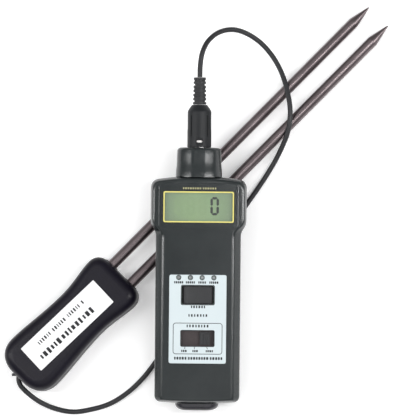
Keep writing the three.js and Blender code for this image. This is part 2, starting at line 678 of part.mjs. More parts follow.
function pushSwitch() {
  const plungerTop = BUTTON_UNDER - BUTTON_TRAVEL - GAP;
  const body = block([-PUSH_HALF, BUTTON_Y - PUSH_HALF, BOARD_TOP + GAP],
    [PUSH_HALF, BUTTON_Y + PUSH_HALF, plungerTop - PUSH_PLUNGER]);
  const plunger = post(0, BUTTON_Y, PUSH_PLUNGER_RADIUS, BOARD_TOP + GAP, plungerTop);
  return named('push_switch', geometryOf(solid(body).add(solid(plunger))), DARK_PLASTIC());
}

/** A box round the slide switch's knob axis, from one height to another. */
function knobBlock(width, height, from, to) {
  return solid(block([KNOB_REST_X - width / 2, SLOT_Y - height / 2, from],
    [KNOB_REST_X + width / 2, SLOT_Y + height / 2, to]));
}

/** The knob, the shutter that hides the slot beside it, and the lever of the switch below. */
function sliderPieces() {
  const reach = SLOT_WIDTH / 2 + SHUTTER_OVERLAP;
  const halfHeight = SLOT_HEIGHT / 2 + SHUTTER_OVERLAP;
  const shutter = solid(block([-reach, SLOT_Y - halfHeight, SHUTTER_UNDER],
    [reach + KNOB_TRAVEL, SLOT_Y + halfHeight, SHUTTER_TOP]));
  const stemHole = knobBlock(KNOB_STEM_WIDTH + 2 * GAP, KNOB_STEM_HEIGHT + 2 * GAP,
    SHUTTER_UNDER - CUT, SHUTTER_TOP + CUT);
  const cap = knobBlock(KNOB_WIDTH, KNOB_HEIGHT, SHUTTER_TOP + GAP, FRONT + KNOB_PROUD);
  const stem = knobBlock(KNOB_STEM_WIDTH, KNOB_STEM_HEIGHT, SHUTTER_UNDER, SHUTTER_TOP + CUT);
  const leverTop = SHUTTER_UNDER + LEVER_BITE - GAP;
  const socket = knobBlock(LEVER_SIZE + 2 * GAP, LEVER_SIZE + 2 * GAP, SHUTTER_UNDER - CUT, SHUTTER_UNDER + LEVER_BITE);
  const lever = knobBlock(LEVER_SIZE, LEVER_SIZE, leverTop - LEVER_LENGTH, leverTop);
  return [
    named('function_knob', geometryOf(cap.add(stem).subtract(socket)), plastic(0x57525a, 0.5)),
    named('slider_shutter', geometryOf(shutter.subtract(stemHole)), plastic(0x423c42, 0.6)),
    named('switch_lever', geometryOf(lever), plastic(0x18181a, 0.5)),
  ];
}

function slideSwitch() {
  const centre = KNOB_REST_X - KNOB_TRAVEL / 2;
  const half = KNOB_TRAVEL / 2 + LEVER_SIZE / 2 + GAP;
  const can = block([centre - half - SWITCH_WALL, SLOT_Y - SWITCH_HALF, BOARD_TOP + GAP],
    [centre + half + SWITCH_WALL, SLOT_Y + SWITCH_HALF, SWITCH_TOP]);
  const leverFoot = SHUTTER_UNDER + LEVER_BITE - 2 * GAP - LEVER_LENGTH;
  const track = block([centre - half, SLOT_Y - LEVER_SIZE / 2 - GAP, leverFoot],
    [centre + half, SLOT_Y + LEVER_SIZE / 2 + GAP, SWITCH_TOP + CUT]);
  return named('slide_switch', geometryOf(solid(can).subtract(solid(track))), STEEL());
}

/** The indicator lamps: long-bodied diodes that stand on the board and end flush with the panel. */
function lamps() {
  const foot = BOARD_TOP + GAP;
  return Array.from({ length: LAMP_COUNT }, (_, index) => {
    const profile = [
      [0, foot],
      [LAMP_RADIUS, foot],
      [LAMP_RADIUS, FRONT],
      [LAMP_RADIUS / 2, FRONT + LAMP_DOME],
      [0, FRONT + LAMP_DOME],
    ];
    const lamp = turned(profile, 10);
    lamp.rotateX(Math.PI / 2).translate(lampX(index), LAMP_Y, 0);
    return named(`lamp_${index + 1}`, lamp, plastic(0x6a7070, 0.2));
  });
}

/** The blocks and cans that are soldered on a board, standing on one level. */
function partsOnBoard(blocks, cans, level) {
  const boxes = blocks.map(([x, y, width, length, height]) => (
    block([x - width / 2, y - length / 2, level], [x + width / 2, y + length / 2, level + height])));
  return [...boxes, ...cans.map(([x, y, radius, height]) => post(x, y, radius, level, level + height, 10))].map(solid);
}

function boardPieces() {
  const blank = solid(block([-BOARD_WIDTH / 2, BOARD_START, BOARD_UNDER], [BOARD_WIDTH / 2, BOARD_END, BOARD_TOP]));
  const notches = CASE_POSTS.map(([x, y]) => (
    solid(post(x, y, POST_RADIUS + 2 * GAP, BOARD_UNDER - CUT, BOARD_TOP + CUT))));
  const holes = BOARD_POSTS.map(([x, y]) => (
    solid(post(x, y, SCREW_RADIUS + GAP, BOARD_UNDER - CUT, BOARD_TOP + CUT, 8))));
  const soldered = partsOnBoard(BOARD_PARTS, BOARD_CANS, BOARD_TOP - SOLDER_SINK);
  const chipFoot = BOARD_TOP + GAP;
  const screwFoot = BOARD_UNDER - GAP - SCREW_HEAD_THICK;
  return [
    named('main_board', geometryOf(joined(cutAway(blank, [...notches, ...holes]), soldered)), BOARD_GREEN()),
    named('controller_chip', block([-CHIP_SIZE / 2, CHIP_Y - CHIP_SIZE / 2, chipFoot],
      [CHIP_SIZE / 2, CHIP_Y + CHIP_SIZE / 2, chipFoot + CHIP_THICK]), plastic(0x1a1a1c, 0.4)),
    ...screws('board_screw', BOARD_POSTS, screwFoot, SCREW_HEAD_THICK + BOARD_THICK + SCREW_BITE - 3 * GAP),
  ];
}

/** A body extruded along y, from a rounded rectangle across x and z. */
function oval(width, depth, from, to) {
  const radius = Math.min(width, depth) / 2 - OVAL_EASE;
  return slab(roundedRect(width, depth, radius), from, to, 4).rotateX(-Math.PI / 2).translate(0, 0, SPLIT);
}

const COLLAR_START = CASE_LENGTH - HEAD_RISE / 4 + GAP;
const COLLAR_END = COLLAR_START + COLLAR_LENGTH;

function collarPieces() {
  const radius = COLLAR_DEPTH / 2 - OVAL_EASE;
  const capLow = COLLAR_START - COLLAR_ROUND;
  const cap = pillow(roundedRect(COLLAR_WIDTH, COLLAR_DEPTH, radius), capLow, COLLAR_END, COLLAR_ROUND)
    .rotateX(-Math.PI / 2).translate(0, 0, SPLIT);
  const foot = oval(COLLAR_FOOT_WIDTH, COLLAR_FOOT_DEPTH, capLow, COLLAR_START + COLLAR_FOOT);
  const overCase = solid(slab(caseOutline(-GAP), -CASE_THICK, 2 * CASE_THICK, 4));
  const bore = solid(bar(SOCKET_RADIUS + GAP, COLLAR_START - 2 * CUT - COLLAR_ROUND, COLLAR_END + CUT)
    .translate(0, 0, SPLIT));
  const collar = joined(solid(cap), [solid(foot)]).subtract(bore).subtract(overCase);
  const socketLow = CASE_LENGTH - WALL - SOCKET_INSET;
  const socketHigh = COLLAR_END - SKIRT_LENGTH - GAP;
  const socket = solid(bar(SOCKET_RADIUS, socketLow, socketHigh).translate(0, 0, SPLIT));
  const nut = solid(bar(SOCKET_RADIUS + SOCKET_NUT, socketLow - SOCKET_NUT, socketLow, 6).translate(0, 0, SPLIT));
  const pinHole = solid(bar(PIN_RADIUS + GAP, socketHigh - PIN_REACH, socketHigh + CUT, 10).translate(0, 0, SPLIT));
  const tag = solid(block([-SOCKET_TAG_HALF, socketLow - SOCKET_NUT - SOCKET_TAG_LENGTH, SPLIT - SOCKET_TAG_THICK / 2],
    [SOCKET_TAG_HALF, socketLow, SPLIT + SOCKET_TAG_THICK / 2]));
  return [
    named('collar', geometryOf(collar), CASE_PLASTIC()),
    named('socket_body', geometryOf(joined(socket, [nut, tag]).subtract(pinHole)), DARK_PLASTIC()),
  ];
}

function bottomPlug() {
  const head = pillow(roundedRect(FOOT_PLUG_WIDTH, FOOT_PLUG_DEPTH, FOOT_PLUG_DEPTH / 2 - OVAL_EASE),
    -FOOT_PLUG_PROUD, FOOT_PLUG_PROUD, FOOT_PLUG_ROUND).rotateX(-Math.PI / 2).translate(0, 0, SPLIT);
  const outside = solid(block([-CASE_LENGTH, -CASE_LENGTH, -CASE_LENGTH], [CASE_LENGTH, -GAP, CASE_LENGTH]));
  const body = solid(head).intersect(outside).add(footNeck(0, -CUT, FOOT_PLUG_NECK));
  return named('bottom_plug', geometryOf(body), plastic(0x17171c, 0.15));
}

// ---------------------------------------------------------------- plug, on the meter's long axis

const PLUG_RADIUS = SOCKET_RADIUS + PLUG_WALL;
const PLUG_START = COLLAR_END + GAP;
const PLUG_END = PLUG_START + PLUG_LENGTH;
const RELIEF_START = PLUG_END + PLUG_SHOULDER + GAP;

function plugPieces() {
  const shellBody = solid(turned([
    [0, PLUG_START],
    [PLUG_RADIUS - PLUG_EDGE, PLUG_START],
    [PLUG_RADIUS, PLUG_START + PLUG_EDGE],
    [PLUG_RADIUS, PLUG_END],
    [PLUG_RADIUS - 2 * PLUG_EDGE, PLUG_END + PLUG_SHOULDER / 2],
    [RELIEF_RADIUS + GAP, PLUG_END + PLUG_SHOULDER],
    [0, PLUG_END + PLUG_SHOULDER],
  ], 20));
  const skirtSeat = solid(bar(SOCKET_RADIUS + GAP, PLUG_START - CUT, PLUG_START + SKIRT_TAIL + GAP));
  const leadBore = solid(bar(CORD_RADIUS + GAP, PLUG_START, RELIEF_START + CUT, 10));
  const screwSeat = solid(post(0, PLUG_START + PLUG_SCREW_Y, PLUG_SCREW_RADIUS + GAP,
    PLUG_RADIUS - PLUG_SCREW_THICK - GAP, PLUG_RADIUS + CUT));
  const skirt = ring(SOCKET_RADIUS, SOCKET_RADIUS - SKIRT_WALL, PLUG_START - SKIRT_LENGTH, PLUG_START + SKIRT_TAIL);
  const core = solid(bar(SOCKET_RADIUS - SKIRT_WALL - GAP, PLUG_START - SKIRT_LENGTH + CORE_SINK,
    PLUG_START + SKIRT_TAIL));
  const coreEnd = PLUG_START + SKIRT_TAIL;
  const pinStart = PLUG_START - SKIRT_LENGTH - PIN_REACH + GAP;
  const pin = bar(PIN_RADIUS, pinStart, coreEnd - SKIRT_WALL, 10);
  const pinBore = solid(bar(PIN_RADIUS + GAP, pinStart, coreEnd - SKIRT_WALL + GAP, 10));
  const screwY = PLUG_START + PLUG_SCREW_Y;
  const screwHead = post(0, screwY, PLUG_SCREW_RADIUS, PLUG_RADIUS - PLUG_SCREW_THICK, PLUG_RADIUS);
  const screwSlot = block([-PLUG_SCREW_RADIUS - CUT, screwY - PLUG_SCREW_SLOT / 2, PLUG_RADIUS - PLUG_SCREW_THICK / 2],
    [PLUG_SCREW_RADIUS + CUT, screwY + PLUG_SCREW_SLOT / 2, PLUG_RADIUS + CUT]);
  const pieces = [
    named('plug_shell', geometryOf(cutAway(shellBody, [skirtSeat, leadBore, screwSeat])), DARK_PLASTIC()),
    named('plug_skirt', skirt, STEEL()),
    named('plug_core', geometryOf(core.subtract(pinBore)), BLACK_RUBBER()),
    named('plug_pin', pin, BRASS()),
    named('plug_screw', geometryOf(solid(screwHead).subtract(solid(screwSlot))), STEEL()),
    strainRelief(),
  ];
  pieces.forEach((piece) => piece.geometry.translate(0, 0, SPLIT));
  return pieces;
}

/** The ribbed sleeve on the lead, hollow so that the lead passes through it. */
function strainRelief() {
  const pitch = RELIEF_LENGTH / RELIEF_RIBS;
  const ribWidth = pitch * RELIEF_RIB_SHARE;
  const points = [[CORD_RADIUS + GAP, RELIEF_START]];
  for (let rib = 0; rib < RELIEF_RIBS; rib += 1) {
    const start = RELIEF_START + rib * pitch;
    const radius = THREE.MathUtils.lerp(RELIEF_RADIUS, RELIEF_TIP_RADIUS, rib / (RELIEF_RIBS - 1));
    points.push([radius, start], [radius, start + ribWidth]);
    if (rib < RELIEF_RIBS - 1) {
      points.push([radius - RELIEF_GROOVE, start + ribWidth], [radius - RELIEF_GROOVE, start + pitch]);
    }
  }
  points.push([CORD_RADIUS + GAP, RELIEF_START + RELIEF_LENGTH - pitch + ribWidth], points[0]);
  return named('strain_relief', turned(points, 10), BLACK_RUBBER());
}

// ---------------------------------------------------------------- probe

const ROD_Z = HANDLE_THICK / 2;
const RODS = [ROD_HALF_SPACING, -ROD_HALF_SPACING];
const ROD_TIP_X = HANDLE_LENGTH + ROD_OUT;
const ROD_INNER_X = HANDLE_LENGTH - ROD_BITE;
const STUD_X = ROD_INNER_X - STUD_LENGTH;
const CARRIER_X = HANDLE_LENGTH - CARRIER_BACK;
const WAIST_X = HANDLE_LENGTH - WAIST_BACK;
const FRONT_LOBE_X = HANDLE_LENGTH - FRONT_LOBE_BACK;
const HANDLE_LABEL_X = HANDLE_LENGTH / 2 - HANDLE_LABEL_OFF;
const HANDLE_POSTS = [[HANDLE_LENGTH - FRONT_POST_BACK, 0], [REAR_POST_X, REAR_POST_Y], [REAR_POST_X, -REAR_POST_Y]];
const SENSOR_END = STUD_X - SENSOR_MARGIN;
const SENSOR_PARTS = [[SENSOR_END - 14.5, -1, 7, 6, 1.6], [SENSOR_END - 6.5, 4.2, 5, 2.5, 1.2]];
const SENSOR_CANS = [[SENSOR_END - 6, -3, 1.8, 4]];

/** A body turned about the y axis, laid along x at one rod's place. */
function alongRod(geometry, y) {
  return geometry.rotateZ(-Math.PI / 2).translate(0, y, ROD_Z);
}

/** A body turned about the y axis, laid along the lead's exit, with y = 0 at the handle's rear end. */
function alongLead(geometry) {
  return geometry.rotateZ(degrees(LEAD_ANGLE) - Math.PI / 2).translate(0, 0, ROD_Z);
}

/** The bone-shaped handle's outline, seen on its face. */
function handleOutline() {
  const rearY = THREE.MathUtils.lerp(REAR_FLAT_HALF, LOBE_HALF, END_EASE);
  const frontY = THREE.MathUtils.lerp(FRONT_FLAT_HALF, LOBE_HALF, END_EASE);
  const rearSpan = WAIST_X - REAR_LOBE_X;
  const frontSpan = FRONT_LOBE_X - WAIST_X;
  const curves = [
    [[0, REAR_FLAT_HALF], [0, rearY], [REAR_LOBE_X * (1 - END_EASE), LOBE_HALF], [REAR_LOBE_X, LOBE_HALF]],
    [[REAR_LOBE_X, LOBE_HALF], [REAR_LOBE_X + LOBE_EASE * rearSpan, LOBE_HALF],
      [WAIST_X - WAIST_EASE * rearSpan, WAIST_HALF], [WAIST_X, WAIST_HALF]],
    [[WAIST_X, WAIST_HALF], [WAIST_X + WAIST_EASE * frontSpan, WAIST_HALF],
      [FRONT_LOBE_X - LOBE_EASE * frontSpan, LOBE_HALF], [FRONT_LOBE_X, LOBE_HALF]],
    [[FRONT_LOBE_X, LOBE_HALF], [FRONT_LOBE_X + END_EASE * FRONT_LOBE_BACK, LOBE_HALF],
      [HANDLE_LENGTH, frontY], [HANDLE_LENGTH, FRONT_FLAT_HALF]],
  ].map((controls) => new THREE.CubicBezierCurve(...controls.map(([x, y]) => new THREE.Vector2(x, y))));
  const upper = curves.flatMap((curve, index) => curve.getPoints(HANDLE_STEPS).slice(Math.sign(index)));
  const lower = upper.map(({ x, y }) => new THREE.Vector2(x, -y));
  return new THREE.Shape([...lower, ...upper.reverse()]);
}

const handleBlank = pillow(handleOutline(), 0, HANDLE_THICK, HANDLE_ROUND, { bevelSegments: 3 });
const handleCavity = pillow(handleOutline(), HANDLE_WALL, HANDLE_THICK - HANDLE_WALL, HANDLE_ROUND - HANDLE_WALL,
  { inset: HANDLE_WALL });

/** Half of the hollow handle, with the openings that both halves share. */
function handleHalf(from, to) {
  const span = 2 * HANDLE_LENGTH;
  const keep = solid(block([-span, -span, from], [span, span, to]));
  const bushRadius = ROD_RADIUS + GAP + BUSH_WALL + GAP;
  const wallStart = HANDLE_LENGTH - HANDLE_WALL;
  const collars = RODS.map((y) => (
    solid(alongRod(bar(bushRadius + BUSH_SEAT_WALL, HANDLE_LENGTH - BUSH_LENGTH, wallStart + CUT), y))));
  const holes = RODS.map((y) => (
    solid(alongRod(bar(bushRadius, HANDLE_LENGTH - BUSH_LENGTH - CUT, HANDLE_LENGTH + CUT), y))));
  const padEnd = NOTCH_DEPTH + HANDLE_WALL;
  const grommetHole = solid(alongLead(bar(GROMMET_RADIUS + GAP, -CUT, padEnd + 2 * CUT, 12)));
  const notch = solid(alongLead(bar(NOTCH_HALF, -2 * NOTCH_DEPTH, NOTCH_DEPTH, 12)));
  const rearPad = solid(alongLead(bar(NOTCH_HALF + HANDLE_WALL, -NOTCH_DEPTH, padEnd, 12)))
    .intersect(solid(handleBlank));
  const hollow = solid(handleBlank).subtract(solid(handleCavity));
  return cutAway(joined(hollow, [...collars, rearPad]), [...holes, grommetHole, notch]).intersect(keep);
}

function handleFront() {
  const posts = HANDLE_POSTS.map(([x, y]) => (
    solid(post(x, y, POST_RADIUS, ROD_Z + GAP, HANDLE_THICK - HANDLE_WALL + 1, 10))));
  const bores = HANDLE_POSTS.map(([x, y]) => (
    solid(post(x, y, SCREW_RADIUS + GAP, 0, ROD_Z + HANDLE_SCREW_BITE + GAP, 8))));
  const seat = slab(roundedRect(HANDLE_LABEL_LENGTH + 2 * GAP, HANDLE_LABEL_WIDTH + 2 * GAP, 0.5),
    HANDLE_THICK - GAP - HANDLE_LABEL_THICK / 2, HANDLE_THICK + CUT, 2)
    .rotateZ(degrees(HANDLE_LABEL_TURN)).translate(HANDLE_LABEL_X, 0, 0);
  const body = joined(handleHalf(ROD_Z + GAP / 2, HANDLE_THICK), posts);
  return named('handle_front', geometryOf(cutAway(body, [...bores, solid(seat)])), HANDLE_PLASTIC());
}

function handleBack() {
  const posts = HANDLE_POSTS.map(([x, y]) => (
    solid(post(x, y, SCREW_POST_RADIUS, HANDLE_WALL / 2, ROD_Z - GAP / 2, 10))));
  const headSeats = HANDLE_POSTS.map(([x, y]) => (
    solid(post(x, y, SCREW_HEAD_RADIUS + GAP, -CUT, SCREW_SINK + SCREW_HEAD_THICK + GAP))));
  const bores = HANDLE_POSTS.map(([x, y]) => solid(post(x, y, SCREW_RADIUS + GAP, -CUT, ROD_Z + CUT, 8)));
  const sensorRestY = SENSOR_WIDTH / 2 - REST_INSET;
  const boardRests = [-sensorRestY, sensorRestY].map((y) => (
    solid(post(SENSOR_END - 2 * REST_INSET, y, SENSOR_REST_RADIUS, HANDLE_WALL / 2,
      SENSOR_UNDER - GAP, 8))));
  const carrierRestY = CARRIER_WIDTH / 2 - 2 * REST_INSET;
  const carrierRests = [-carrierRestY, carrierRestY].map((y) => (
    solid(post(CARRIER_X + CARRIER_LENGTH / 2, y, CARRIER_REST_RADIUS, HANDLE_WALL / 2,
      ROD_Z - CARRIER_THICK / 2 - GAP, 8))));
  const body = joined(handleHalf(0, ROD_Z - GAP / 2), [...posts, ...boardRests, ...carrierRests]);
  return named('handle_back', geometryOf(cutAway(body, [...headSeats, ...bores])), HANDLE_PLASTIC());
}

function handleLabel() {
  const low = HANDLE_THICK - HANDLE_LABEL_THICK / 2;
  const sheet = slab(roundedRect(HANDLE_LABEL_LENGTH, HANDLE_LABEL_WIDTH, 0.5), low, low + HANDLE_LABEL_THICK, 2)
    .rotateZ(degrees(HANDLE_LABEL_TURN)).translate(HANDLE_LABEL_X, 0, 0);
  return named('handle_label', sheet, WHITE_SHEET());
}

function electrodeRod(y, index) {
  const shoulder = ROD_TIP_X - ROD_TAPER;
  const rod = turned([
    [0, STUD_X],
    [STUD_RADIUS, STUD_X],
    [STUD_RADIUS, ROD_INNER_X],
    [ROD_RADIUS, ROD_INNER_X],
    [ROD_RADIUS, shoulder],
    [ROD_POINT, ROD_TIP_X - ROD_POINT],
    [0, ROD_TIP_X],
  ], 16);
  return named(`electrode_rod_${index + 1}`, alongRod(rod, y), STEEL());
}

function rodFittings() {
  const bushes = RODS.map((y, index) => named(`rod_bush_${index + 1}`,
    alongRod(ring(ROD_RADIUS + GAP + BUSH_WALL, ROD_RADIUS + GAP, HANDLE_LENGTH - BUSH_LENGTH,
      HANDLE_LENGTH + BUSH_PROUD), y),
    BLACK_RUBBER()));
  const carrierBlank = solid(block([CARRIER_X, -CARRIER_WIDTH / 2, ROD_Z - CARRIER_THICK / 2],
    [CARRIER_X + CARRIER_LENGTH, CARRIER_WIDTH / 2, ROD_Z + CARRIER_THICK / 2]));
  const rodHoles = RODS.map((y) => (
    solid(alongRod(bar(ROD_RADIUS + GAP, CARRIER_X - CUT, CARRIER_X + CARRIER_LENGTH + CUT), y))));
  const nutEnd = ROD_INNER_X - GAP;
  const nuts = RODS.map((y, index) => named(`rod_nut_${index + 1}`,
    alongRod(ring(NUT_RADIUS, (STUD_RADIUS + GAP) / Math.cos(Math.PI / 6), nutEnd - NUT_THICK, nutEnd, 6), y), BRASS()));
  return [
    ...bushes,
    named('rod_carrier', geometryOf(cutAway(carrierBlank, rodHoles)), plastic(0xd6d2c4, 0.5)),
    ...nuts,
  ];
}

/** The sensor board with the parts soldered on it. */
function sensorBoard() {
  const top = SENSOR_UNDER + BOARD_THICK;
  const blank = solid(block([SENSOR_START, -SENSOR_WIDTH / 2, SENSOR_UNDER],
    [SENSOR_END, SENSOR_WIDTH / 2, top]));
  const soldered = partsOnBoard(SENSOR_PARTS, SENSOR_CANS, top - SOLDER_SINK);
  return named('sensor_board', geometryOf(joined(blank, soldered)), BOARD_GREEN());
}

/** The grommet in the handle's rear end, moulded round the end of the lead inside the handle. */
function cordGrommet() {
  const flangeStart = NOTCH_DEPTH - GAP - GROMMET_FLANGE_THICK;
  const sleeveEnd = NOTCH_DEPTH + HANDLE_WALL + CUT;
  const grommet = turned([
    [0, flangeStart],
    [GROMMET_FLANGE, flangeStart],
    [GROMMET_FLANGE, NOTCH_DEPTH - GAP],
    [GROMMET_RADIUS, NOTCH_DEPTH - GAP],
    [GROMMET_RADIUS, sleeveEnd],
    [CORD_RADIUS, sleeveEnd],
    [CORD_RADIUS, LEAD_INSIDE],
    [0, LEAD_INSIDE],
  ], 12);
  return named('cord_grommet', alongLead(grommet), BLACK_RUBBER());
}

function freeCord() {
  const route = new THREE.CatmullRomCurve3(CORD_POINTS.map((point) => new THREE.Vector3(...point)), false, 'centripetal');
  return named('cord', tubeAlong(route, CORD_RADIUS, CORD_SIDES, CORD_STEPS), BLACK_RUBBER());
}

// ---------------------------------------------------------------- how the two halves lie

const NOSE_DOWN = Math.atan2(ROD_Z - ROD_RADIUS, ROD_TIP_X - ROD_TAPER - (HANDLE_LENGTH - HANDLE_ROUND));

/** The probe's place: turned on the table, then nose down until its rod tips touch. */
function probeMatrix() {
  const lift = (HANDLE_LENGTH - HANDLE_ROUND) * Math.sin(NOSE_DOWN);
  const turn = new THREE.Matrix4().makeRotationZ(degrees(PROBE_TURN));
  const pitch = new THREE.Matrix4().makeRotationY(NOSE_DOWN);
  const place = new THREE.Matrix4().makeTranslation(PROBE_AT.x, PROBE_AT.y, lift);
  return place.multiply(turn).multiply(pitch);
}

/** The meter's place, its back resting along the nearer rod, leaning about that rod by an angle. */
function meterMatrix(lean) {
  const probe = probeMatrix();
  const along = new THREE.Vector3(1, 0, 0).transformDirection(probe);
  const across = new THREE.Vector3().crossVectors(along, new THREE.Vector3(0, 0, 1)).normalize();
  const upright = new THREE.Vector3().crossVectors(across, along);
  const normal = upright.multiplyScalar(Math.cos(lean)).addScaledVector(across, Math.sin(lean));
  const heading = new THREE.Vector3(0, 1, 0).applyAxisAngle(new THREE.Vector3(0, 0, 1), degrees(METER_TURN));
  const lengthwise = heading.addScaledVector(normal, -heading.dot(normal)).normalize();
  const sideways = new THREE.Vector3().crossVectors(lengthwise, normal);
  const onRod = new THREE.Vector3(HANDLE_LENGTH, -ROD_HALF_SPACING, ROD_Z).applyMatrix4(probe);
  const reach = onRod.dot(normal) + ROD_RADIUS + GAP;
  const height = (reach - METER_AT.x * normal.x - METER_AT.y * normal.y) / normal.z;
  return new THREE.Matrix4().makeBasis(sideways, lengthwise, normal).setPosition(METER_AT.x, METER_AT.y, height);
}

function lowestPoint(geometry, matrix) {
  const corner = new THREE.Vector3();
  const places = geometry.attributes.position;
  let lowest = Infinity;
  for (let index = 0; index < places.count; index += 1) {
    lowest = Math.min(lowest, corner.fromBufferAttribute(places, index).applyMatrix4(matrix).z);
  }
  return lowest;
}

/** The lean at which the case's lowest corner just touches the table, found by halving. */
function restingLean() {
  let less = 0;
  let more = degrees(MAX_LEAN);
  for (let halving = 0; halving < 40; halving += 1) {
    const middle = (less + more) / 2;
    if (lowestPoint(caseBlank, meterMatrix(middle)) > 0) less = middle;
    else more = middle;
  }
  return less;
}

function placed(matrix, meshes) {
  const group = new THREE.Group();
  group.add(...meshes);
  group.applyMatrix4(matrix);
  return group;
}

// ---------------------------------------------------------------- the whole object

const meterMeshes = [
  frontCase(),
  rearCase(),
  batteryDoor(),
  ...Array.from({ length: CELL_COUNT }, (_, index) => batteryCell(index)),
  ...springContacts(),
  ...plateContacts(),
  ...displayPieces(),
  labelPanel(),
  selectButton(),
  pushSwitch(),
  ...sliderPieces(),
  slideSwitch(),
  ...lamps(),
  ...boardPieces(),
  ...screws('case_screw', CASE_POSTS, SCREW_SINK, SPLIT + SCREW_BITE - SCREW_SINK),
  ...collarPieces(),
  bottomPlug(),
  ...plugPieces(),
];

const probeMeshes = [
  handleFront(),
  handleBack(),
  handleLabel(),
  ...RODS.map(electrodeRod),
  ...rodFittings(),
  sensorBoard(),
  ...screws('handle_screw', HANDLE_POSTS, SCREW_SINK, ROD_Z + HANDLE_SCREW_BITE - SCREW_SINK),
  cordGrommet(),
];

const moistureMeter = new THREE.Group();
moistureMeter.add(
  placed(meterMatrix(restingLean()), meterMeshes),
  placed(probeMatrix(), probeMeshes),
  freeCord(),
);

export default moistureMeter;
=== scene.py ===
"""Looks of the grain moisture meter: finer shells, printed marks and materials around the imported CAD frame."""
import json
import math

import bpy
from mathutils import Matrix, Vector


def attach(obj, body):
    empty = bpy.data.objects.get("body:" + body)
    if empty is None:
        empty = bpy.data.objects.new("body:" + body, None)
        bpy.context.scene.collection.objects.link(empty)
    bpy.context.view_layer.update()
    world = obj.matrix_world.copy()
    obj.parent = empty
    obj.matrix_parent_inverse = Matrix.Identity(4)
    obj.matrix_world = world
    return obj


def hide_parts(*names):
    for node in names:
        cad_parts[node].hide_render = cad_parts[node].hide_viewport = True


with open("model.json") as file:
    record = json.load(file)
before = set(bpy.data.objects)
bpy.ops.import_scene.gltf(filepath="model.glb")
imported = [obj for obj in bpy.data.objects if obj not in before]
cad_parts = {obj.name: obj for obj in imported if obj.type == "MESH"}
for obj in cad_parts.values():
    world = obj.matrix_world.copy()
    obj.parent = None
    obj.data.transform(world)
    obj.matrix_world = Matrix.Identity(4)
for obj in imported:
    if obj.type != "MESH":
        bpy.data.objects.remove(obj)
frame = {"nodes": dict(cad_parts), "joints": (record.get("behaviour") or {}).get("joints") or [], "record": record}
bpy.context.view_layer.update()

# ---- frames: local millimetres to metres

MM = 0.001
JOINTS = {joint["name"]: joint for joint in frame["joints"]}
MOUNTS = {mount["name"]: mount for mount in frame["record"]["mounts"]}
METER_BACK_Y = 80  # where the record's mount lies on the meter's back
HANDLE_BACK_X = 46  # where the record's mount lies on the handle's back
PROBE_TURN = math.radians(44.8)


def local_frame(x, y, z, origin):
    """Matrix from local millimetres, along three unit axes, to metres."""
    rows = [[x[k] * MM, y[k] * MM, z[k] * MM, origin[k]] for k in range(3)]
    return Matrix(rows + [[0, 0, 0, 1]])


meter_x = Vector(JOINTS["function_slide"]["axis"])
meter_y = Vector(JOINTS["plug_pull"]["axis"])
meter_z = -Vector(JOINTS["select_press"]["axis"])
METER = local_frame(meter_x, meter_y, meter_z, Vector(MOUNTS["meter_back"]["pos_m"]) - meter_y * METER_BACK_Y * MM)

probe_z = -Vector(MOUNTS["handle_back"]["axis"])
probe_y = Vector((-math.sin(PROBE_TURN), math.cos(PROBE_TURN), 0))
probe_x = probe_y.cross(probe_z).normalized()
PROBE = local_frame(probe_x, probe_y, probe_z,
                    Vector(MOUNTS["handle_back"]["pos_m"]) - probe_x * HANDLE_BACK_X * MM)

# ---- camera

FIELD = 258.4  # millimetres across the picture, at the meter's middle height
DISTANCE = 2500
SENSOR = 36
PICTURE = (400, 419)  # pixels
ROLL = math.radians(0.55)
AIM = Vector((0.87, 125.0, 13))  # meter-local millimetres

scene = bpy.context.scene
camera = bpy.data.objects.new("camera", bpy.data.cameras.new("camera"))
scene.collection.objects.link(camera)
scene.camera = camera
camera.data.sensor_width = SENSOR
camera.data.lens = SENSOR * DISTANCE / FIELD * PICTURE[0] / PICTURE[1]  # the long side takes the sensor
camera.data.clip_start, camera.data.clip_end = 0.1, 20
back = meter_z
up = (meter_y * math.cos(ROLL) - meter_x * math.sin(ROLL)).normalized()
right = up.cross(back).normalized()
facing = Matrix((right, up, back)).transposed().to_4x4()
camera.matrix_world = Matrix.Translation(METER @ AIM + back * DISTANCE * MM) @ facing

# ---- materials


